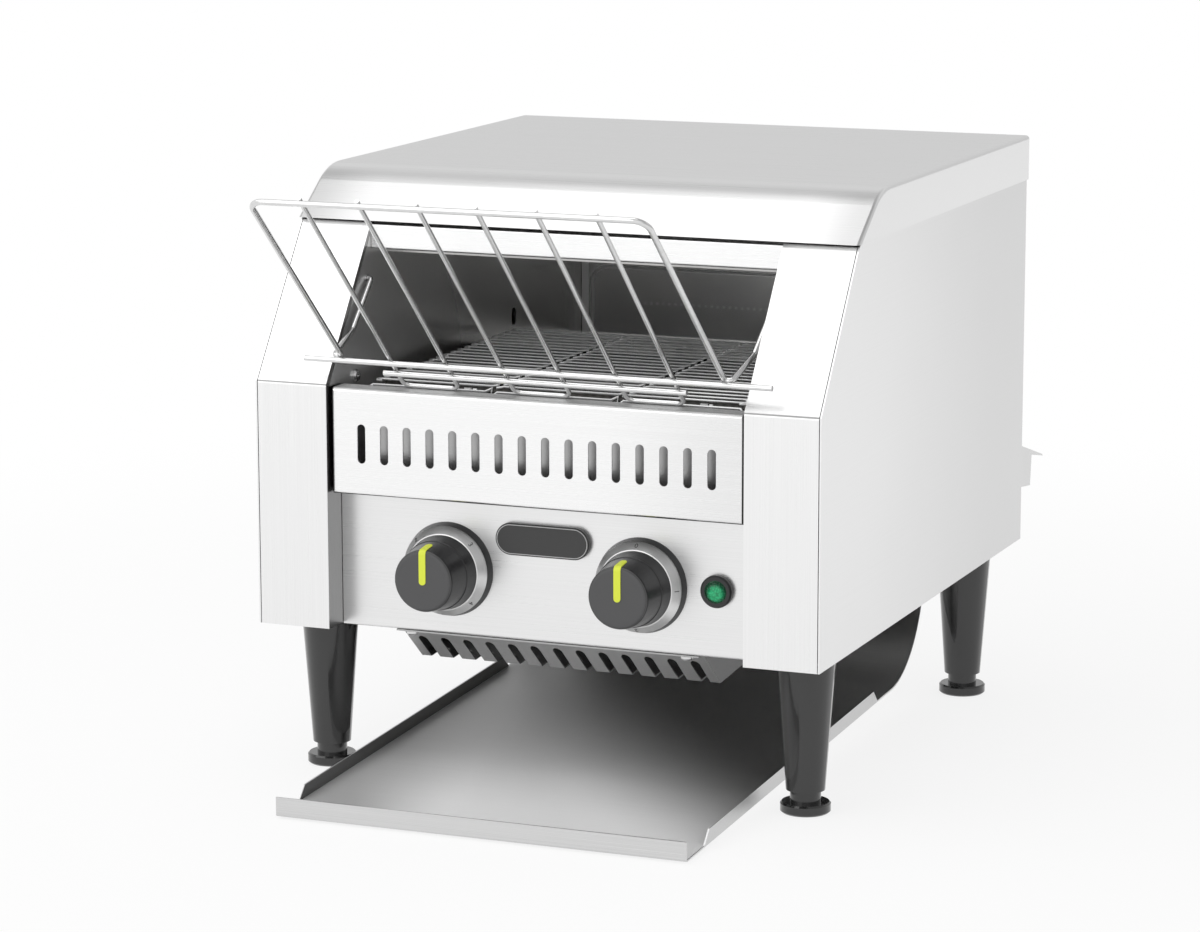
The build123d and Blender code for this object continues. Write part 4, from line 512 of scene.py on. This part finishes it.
knob_black.set(Base_Color=knob_black.mix(knob_rim_highlight, knob_tone, grey(0.16)),
               Roughness=0.30 + face * 0.22 + (grain - 0.5) * 0.12,
               Normal=knob_black.bump(grain, 0.06 * MM, 0.6))
dress(knob_black.material, "speed_knob", "selector_knob")
dress(grained("pointer_green", low=(0.60, 0.68, 0.03, 1), high=(0.72, 0.79, 0.06, 1), rough=0.45),
      "speed_pointer", "selector_pointer")
dress(grained("black_moulding", low=(0.014, 0.014, 0.015, 1), high=(0.024, 0.024, 0.025, 1),
              rough=0.38),
      "speed_control", "selector_switch", "lamp_bezel", "fan_frame", "fan_rotor",
      "terminal_block", "cable_gland", "dial_plates")


# ---------------------------------------------------------------- badge
# The badge is a bare charcoal plate with a fine silver line printed just inside its edge.
# It is moulded, and glued to the panel between the two dials.
BADGE_LINE_IN = 1.1 * MM
BADGE_LINE_W = 0.5 * MM
BADGE_LINE_DEPTH = 0.2 * MM            # the line is on the front only
badge_low, badge_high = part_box("badge_plate")
badge_r = (badge_high.z - badge_low.z) / 2
badge = Paint("badge_charcoal")
badge_grain = badge.noise((3200, 3200, 3200), 3.0)
across, deep, up = badge.spot()
past_end = (abs(across) - (badge_high.x - badge_r)).top(0.0)
inset = badge_r - past_end.away(up - (badge_low.z + badge_r))
line = (abs(inset - BADGE_LINE_IN) < BADGE_LINE_W / 2) * (deep < badge_low.y + BADGE_LINE_DEPTH)
plain = badge.mix(badge_grain, grey(0.026), grey(0.042))
badge.set(Base_Color=badge.mix(line, plain, grey(0.42)),
          Roughness=0.36 + (badge_grain - 0.5) * 0.14,
          Normal=badge.bump(badge_grain, 0.03 * MM, 0.6))
dress(badge.material, "badge_plate")


# ---------------------------------------------------------------- dials
# A thin stamped ring of turned steel is glued over each black dial's sloping face, and carries
# a few small printed numbers.
DIAL_RING = ((28.0, 5.2), (28.05, 5.75), (27.8, 6.15), (23.9, 10.75), (23.3, 10.95), (22.9, 10.8),
             (22.9, 10.2))             # radius and height over the panel, in mm
DIAL_SLOPE = DIAL_RING[2:4]            # lower and upper end of the sloping face
DIAL_SIDES = 120
SPEED_MARKS = ((-135, "1"), (-45, "2"), (45, "3"), (135, "4"))
SELECTOR_MARKS = ((0, "0"), (90, "1"), (180, "2"), (270, "3"))
MARK_H = 4.6 * MM
MARK_PLACE = 25.85, 8.48               # radius and height of a number's middle, in mm
MARK_LIFT = 0.12 * MM                  # how far it stands off the cone
MARK_T = 0.03 * MM
dial_low, dial_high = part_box("dial_plates")
dial_z = (dial_low.z + dial_high.z) / 2
dial_x = dial_high.x - (dial_high.z - dial_low.z) / 2


def on_dial(x, radius, height, clock):
    """A place round a dial: clock is in degrees, clockwise from the top."""
    return (x + radius * MM * sin(radians(clock)), dial_high.y - height * MM,
            dial_z + radius * MM * cos(radians(clock)))


def dial_ring(name, x, material):
    """The stamped ring round a dial whose middle is at X."""
    count = len(DIAL_RING)
    points = [on_dial(x, radius, height, 360 * i / DIAL_SIDES)
              for i in range(DIAL_SIDES) for radius, height in DIAL_RING]
    faces = []
    for i in range(DIAL_SIDES):
        after = (i + 1) % DIAL_SIDES
        for j in range(count):
            faces.append((i * count + j, after * count + j, after * count + (j + 1) % count,
                          i * count + (j + 1) % count))
    mesh = bpy.data.meshes.new(name)
    mesh.from_pydata(points, [], faces)
    mesh.materials.append(material)
    mesh.validate()
    piece = bpy.data.objects.new(name, mesh)
    bpy.context.scene.collection.objects.link(piece)
    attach(piece, "root")


def dial_number(name, x, clock, text, material):
    """A small printed number that lies on the cone, with its foot towards the knob."""
    curve = bpy.data.curves.new(name, "FONT")
    curve.body, curve.size, curve.extrude = text, MARK_H, MARK_T
    curve.align_x, curve.align_y = "CENTER", "CENTER"
    curve.materials.append(material)
    piece = bpy.data.objects.new(name, curve)
    low, high = (Vector(on_dial(x, *end, clock)) for end in DIAL_SLOPE)
    side = Vector((cos(radians(clock)), 0, -sin(radians(clock))))
    up = (low - high).normalized()
    face = side.cross(up)
    middle = Vector(on_dial(x, *MARK_PLACE, clock)) + face * MARK_LIFT
    piece.matrix_world = Matrix.Translation(middle) @ Matrix((side, up, face)).transposed().to_4x4()
    bpy.context.scene.collection.objects.link(piece)
    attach(piece, "root")


TURNED_LINES = 4200.0                  # turning marks to the metre of radius
ring_steel = Paint("ring_steel", Metallic=1.0)
ring_x, _, ring_z = ring_steel.spot()
ring_radius = (abs(ring_x) - dial_x).away(ring_z - dial_z)
turning = ring_steel.add("ShaderNodeTexNoise", {"noise_dimensions": "1D"},
                         W=ring_radius * TURNED_LINES, Scale=1.0, Detail=2.0)
sweep = ring_steel.noise((90, 90, 90), 1.0, 0.5)
ring_steel.set(Base_Color=ring_steel.mix(turning * 0.5 + sweep * 0.5, grey(0.52), grey(0.92)),
               Roughness=0.30 + turning * 0.14)
print_grey = grained("print_grey", low=grey(0.05), high=grey(0.09), rough=0.5)
dials = ("speed", -dial_x, SPEED_MARKS), ("selector", dial_x, SELECTOR_MARKS)
for label, x, _ in dials:
    dial_ring(f"{label}_dial_ring", x, ring_steel.material)
for label, x, marks in dials:
    for clock, text in marks:
        dial_number(f"{label}_mark_{text}", x, clock, text, print_grey)


# ---------------------------------------------------------------- pilot lamp and board
# The lamp's lens is a green moulding with a faceted back, clipped in its bezel.  The speed
# board is lacquered green and stands on studs at the outer side of the left chamber wall.
LENS_FACETS = 900.0
LENS_SHADE_R = 3.0 * MM, 6.8 * MM      # painted shade on the lens from here outwards
LENS_HIGHLIGHT_X = 1.0 * MM               # how far its painted highlight lies right of its middle
# The lens's colour carries painted highlights in bright facet glints and a bright spot just right
# of its middle, with painted shade towards its edge.
lens = Paint("lens_green", Roughness=0.16)
facets = lens.add("ShaderNodeTexVoronoi", {"feature": "F1"}, Vector=lens.place(),
                  Scale=LENS_FACETS)
lens_low, lens_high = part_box("lamp_lens")
lens_off = lens.add("ShaderNodeVectorMath", {"operation": "DISTANCE"}, lens.place(),
                    ((lens_low.x + lens_high.x) / 2 + LENS_HIGHLIGHT_X, lens_low.y, dial_z), output=1)
highlight_green = lens.mix(facets, (0.02, 0.55, 0.22, 1), (0.00, 0.22, 0.08, 1))
lens.set(Base_Color=lens.mix(lens.smooth(lens_off, *LENS_SHADE_R), highlight_green,
                             (0.0, 0.05, 0.018, 1)),
         Normal=lens.bump(facets, 0.4 * MM, 0.8))
dress(lens.material, "lamp_lens")

BOARD_TRACKS = 60.0
board = Paint("lacquered_board", Roughness=0.35, Coat_Weight=0.3)
tracks = board.add("ShaderNodeTexBrick", None, Vector=board.place(), Scale=BOARD_TRACKS)
board.set(Base_Color=board.mix(tracks, (0.02, 0.16, 0.06, 1), (0.04, 0.24, 0.10, 1)))
dress(board.material, "speed_board")


# ---------------------------------------------------------------- legs and feet
# Legs and feet are glossy black mouldings with a slight orange peel.  Each leg is screwed by
# the stud on its top into a nut in a floor pan, and its foot screws into it from below.
leg_gloss = Paint("leg_gloss", Roughness=0.16, Coat_Weight=0.5)
ripple = leg_gloss.noise((70, 70, 30), 2.0)
leg_gloss.set(Base_Color=leg_gloss.mix(ripple, grey(0.010), grey(0.018)),
              Normal=leg_gloss.bump(ripple, 0.2 * MM, 0.3))
dress(leg_gloss.material, "legs", "foot_front_left", "foot_front_right", "foot_rear_left",
      "foot_rear_right")


# ---------------------------------------------------------------- feed rack and screws
# The rack is bright polished wire, spot welded where wires cross, and hooks into the chamber
# walls.  The screws whose heads show are plated.
bright_wire = Paint("bright_wire", Metallic=1.0)
draw_marks = bright_wire.noise((240, 240, 240), 3.0)
bright_wire.set(Base_Color=bright_wire.mix(draw_marks, grey(0.62), grey(0.80)),
                Roughness=0.10 + draw_marks * 0.08)
dress(bright_wire.material, "rack_frame", "rack_bars", "rack_wires")
dress(brushed("screw_steel", level=0.68, rough=0.24, along="Z", contrast=0.08), "screws")


# ---------------------------------------------------------------- collection tray
# The tray is one folded sheet that hangs on a ledge at the rear. Its back right is polished, and
# painted a little darker there as shade. The rest is ground to a satin, with painted shade towards
# the left side and near the lip. The lip and side edges are bare and painted darker as shade, and
# the insides of the side flanges are painted dark as shade.
TRAY_SKEW = 1.2                        # the polished part's border runs slantwise
TRAY_POLISHED = -0.140, 0.070          # satin up to the first, and polished from the second
TRAY_LEFT_SKEW = 0.2
TRAY_LEFT_SHADE = -0.151, -0.076             # painted shade up to the first, and none from the second
TRAY_FRONT_SHADE_Y = -0.26, -0.12            # and the same from the lip to the rear
TRAY_LIP = 1.5 * MM                    # the bare edge at the lip, painted darker as shade
TRAY_SIDE_EDGE = 0.5 * MM              # and along both sides
TRAY_FLANGE_FACING = -0.05             # X of place times X of facing: less is a side's inside
tray = Paint("tray_steel")
tray_low, tray_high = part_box("collection_tray")
tray_x, tray_y, _ = tray.spot()
polished_and_shaded = tray.smooth(tray_y + tray_x * TRAY_SKEW, *TRAY_POLISHED)
left_shade = 1 - tray.smooth(tray_x + tray_y * TRAY_LEFT_SKEW, *TRAY_LEFT_SHADE)
front_shade = 1 - tray.smooth(tray_y, *TRAY_FRONT_SHADE_Y)
shaded_bare_edge = (tray_y < tray_low.y + TRAY_LIP).top(abs(tray_x) > tray_high.x - TRAY_SIDE_EDGE)
shaded_inner_flange = tray_x * tray.facing()[0] < TRAY_FLANGE_FACING
ground = scratches(tray, "X")
# Painted shade: darker to the left, near the lip and over the polished part.
level = 0.95 - front_shade * 0.12 - left_shade * 0.44 + (ground - 0.5) * 0.08
edge_shade_tone = tray.mix(ground, grey(0.55), grey(0.72))
tone = tray.mix(shaded_bare_edge, tray.shade(level - polished_and_shaded * 0.2), edge_shade_tone)
bare = polished_and_shaded.top(shaded_bare_edge)
tray.set(Base_Color=tray.mix(shaded_inner_flange, tone, grey(0.22)), Metallic=bare.top(shaded_inner_flange),
         Roughness=0.46 - bare * 0.12, Normal=tray.bump(ground, 0.1 * MM))
dress(tray.material, "collection_tray")


# ---------------------------------------------------------------- studio
# A pale floor keeps the toaster's shadow.  Round it is a plain bright surround that metal sees
# a little greyer low down at the back, overhead and to the right.  One large soft lamp hangs
# overhead and one in front.
FLOOR_HALF = 6.0
FLOOR_Z = -0.5 * MM
FLOOR_LIFT = 0.83          # share of plain white in the floor's look, close to the toaster
FLOOR_REACH = 0.45, 1.2    # where that share starts to rise, and where it is 1
SURROUND = 0.80            # light from all sides
FRONT_LIFT = 0.95          # how much more comes from low in front
REAR_GREY = 0.30           # how much darker the surround is low down at the back
ROOF_GREY = 0.45           # and overhead, beyond the lamp
SIDE_GREY = 0.40           # and to the right

# Each of these sets in over a span of a direction's own X, Y or Z.
FRONT_SPAN, FRONT_LOW_SPAN = (0.20, 0.80), (0.30, 0.60)
REAR_SPAN, REAR_LOW_SPAN = (0.35, 0.85), (0.30, 0.70)
ROOF_SPAN, RIGHT_SPAN = (0.45, 0.80), (0.55, 0.90)


def white_rays(nodes_of):
    """Rays from metal, and all rays that see plain white: also from the camera or glass."""
    path = nodes_of.add("ShaderNodeLightPath").socket.node.outputs
    seen, mirrored, through = (Wire(nodes_of, path[f"Is {ray} Ray"])
                               for ray in ("Camera", "Glossy", "Transmission"))
    return mirrored, seen.top(mirrored).top(through)


def mixed(nodes_of, share, first, second, end):
    """Send a mix of two shaders to an end socket."""
    join = nodes_of.add("ShaderNodeMixShader", None, share, first, second)
    nodes_of.tree.links.new(join.socket, end)


floor_mesh = bpy.data.meshes.new("studio_floor")
floor_mesh.from_pydata([(-FLOOR_HALF, -FLOOR_HALF, FLOOR_Z), (FLOOR_HALF, -FLOOR_HALF, FLOOR_Z),
                        (FLOOR_HALF, FLOOR_HALF, FLOOR_Z), (-FLOOR_HALF, FLOOR_HALF, FLOOR_Z)],
                       [], [(0, 1, 2, 3)])
floor = bpy.data.objects.new("studio_floor", floor_mesh)
bpy.context.scene.collection.objects.link(floor)
pale = Paint("studio_floor", Base_Color=grey(0.90), Roughness=0.9, Specular_IOR_Level=0.0)
reach = pale.add("ShaderNodeVectorMath", {"operation": "LENGTH"}, pale.place(), output=1)
glow = pale.add("ShaderNodeEmission", None, grey(1.0), 1.0)
lift = FLOOR_LIFT + pale.smooth(reach, *FLOOR_REACH) * (1 - FLOOR_LIFT)
mixed(pale, white_rays(pale)[1] * lift, Wire(pale, pale.shader.outputs[0]), glow,
      pale.tree.nodes["Material Output"].inputs[0])
floor_mesh.materials.append(pale.material)

world = bpy.data.worlds.new("studio")
bpy.context.scene.world = world
world.use_nodes = True
sky = Nodes(world.node_tree)
surround = sky.tree.nodes["Background"]
surround.inputs["Color"].default_value = grey(0.80)
mirrored, plain_white = white_rays(sky)
toward_x, toward_y, toward_z = sky.parts(sky.add("ShaderNodeTexCoord", output="Generated"))
low_front = sky.smooth(toward_y * -1, *FRONT_SPAN) * (1 - sky.smooth(toward_z, *FRONT_LOW_SPAN))
sky.join(SURROUND + low_front * FRONT_LIFT, surround.inputs["Strength"])
low_rear = sky.smooth(toward_y, *REAR_SPAN) * (1 - sky.smooth(toward_z, *REAR_LOW_SPAN))
overhead = sky.smooth(toward_z, *ROOF_SPAN)
to_the_right = sky.smooth(toward_x, *RIGHT_SPAN)
shade = low_rear * REAR_GREY + overhead * ROOF_GREY + to_the_right * SIDE_GREY
backdrop = sky.add("ShaderNodeBackground", None, grey(1.0), 1 - shade * mirrored)
mixed(sky, plain_white, Wire(sky, surround.outputs[0]), backdrop,
      sky.tree.nodes["World Output"].inputs[0])


def soft_lamp(name, place, aim, size, power):
    """A lamp as wide and high as size, turned towards a point."""
    light = bpy.data.lights.new(name, "AREA")
    light.shape, light.size, light.size_y, light.energy = "RECTANGLE", size[0], size[1], power
    lamp = bpy.data.objects.new(name, light)
    lamp.location = place
    lamp.rotation_euler = (Vector(aim) - Vector(place)).to_track_quat("-Z", "Y").to_euler()
    bpy.context.scene.collection.objects.link(lamp)


soft_lamp("overhead_lamp", place=(-0.75, -0.55, 2.0), aim=(0, 0, 0.25), size=(1.8, 2.6),
          power=17)
soft_lamp("front_lamp", place=(-0.9, -2.4, 0.9), aim=(0, 0, 0.2), size=(1.6, 1.4), power=6)


# ---------------------------------------------------------------- camera
# The camera stands in front and to the right, a little above the lid, and looks slightly down
# with a long lens.
SENSOR = 36.0
FOCAL_LENGTH = 121.7
CAMERA_PLACE = 0.9392, -2.3761, 0.6678
YAW, PITCH, ROLL = 0.3859, 0.1888, 0.0018      # in radians
camera_data = bpy.data.cameras.new("camera")
camera_data.sensor_width = SENSOR
camera_data.lens = FOCAL_LENGTH
camera = bpy.data.objects.new("camera", camera_data)
turn = (Matrix.Rotation(YAW, 4, "Z") @ Matrix.Rotation(pi / 2 - PITCH, 4, "X")
        @ Matrix.Rotation(-ROLL, 4, "Z"))
camera.matrix_world = Matrix.Translation(CAMERA_PLACE) @ turn
bpy.context.scene.collection.objects.link(camera)
bpy.context.scene.camera = camera
bpy.context.scene.view_settings.view_transform = "Standard"
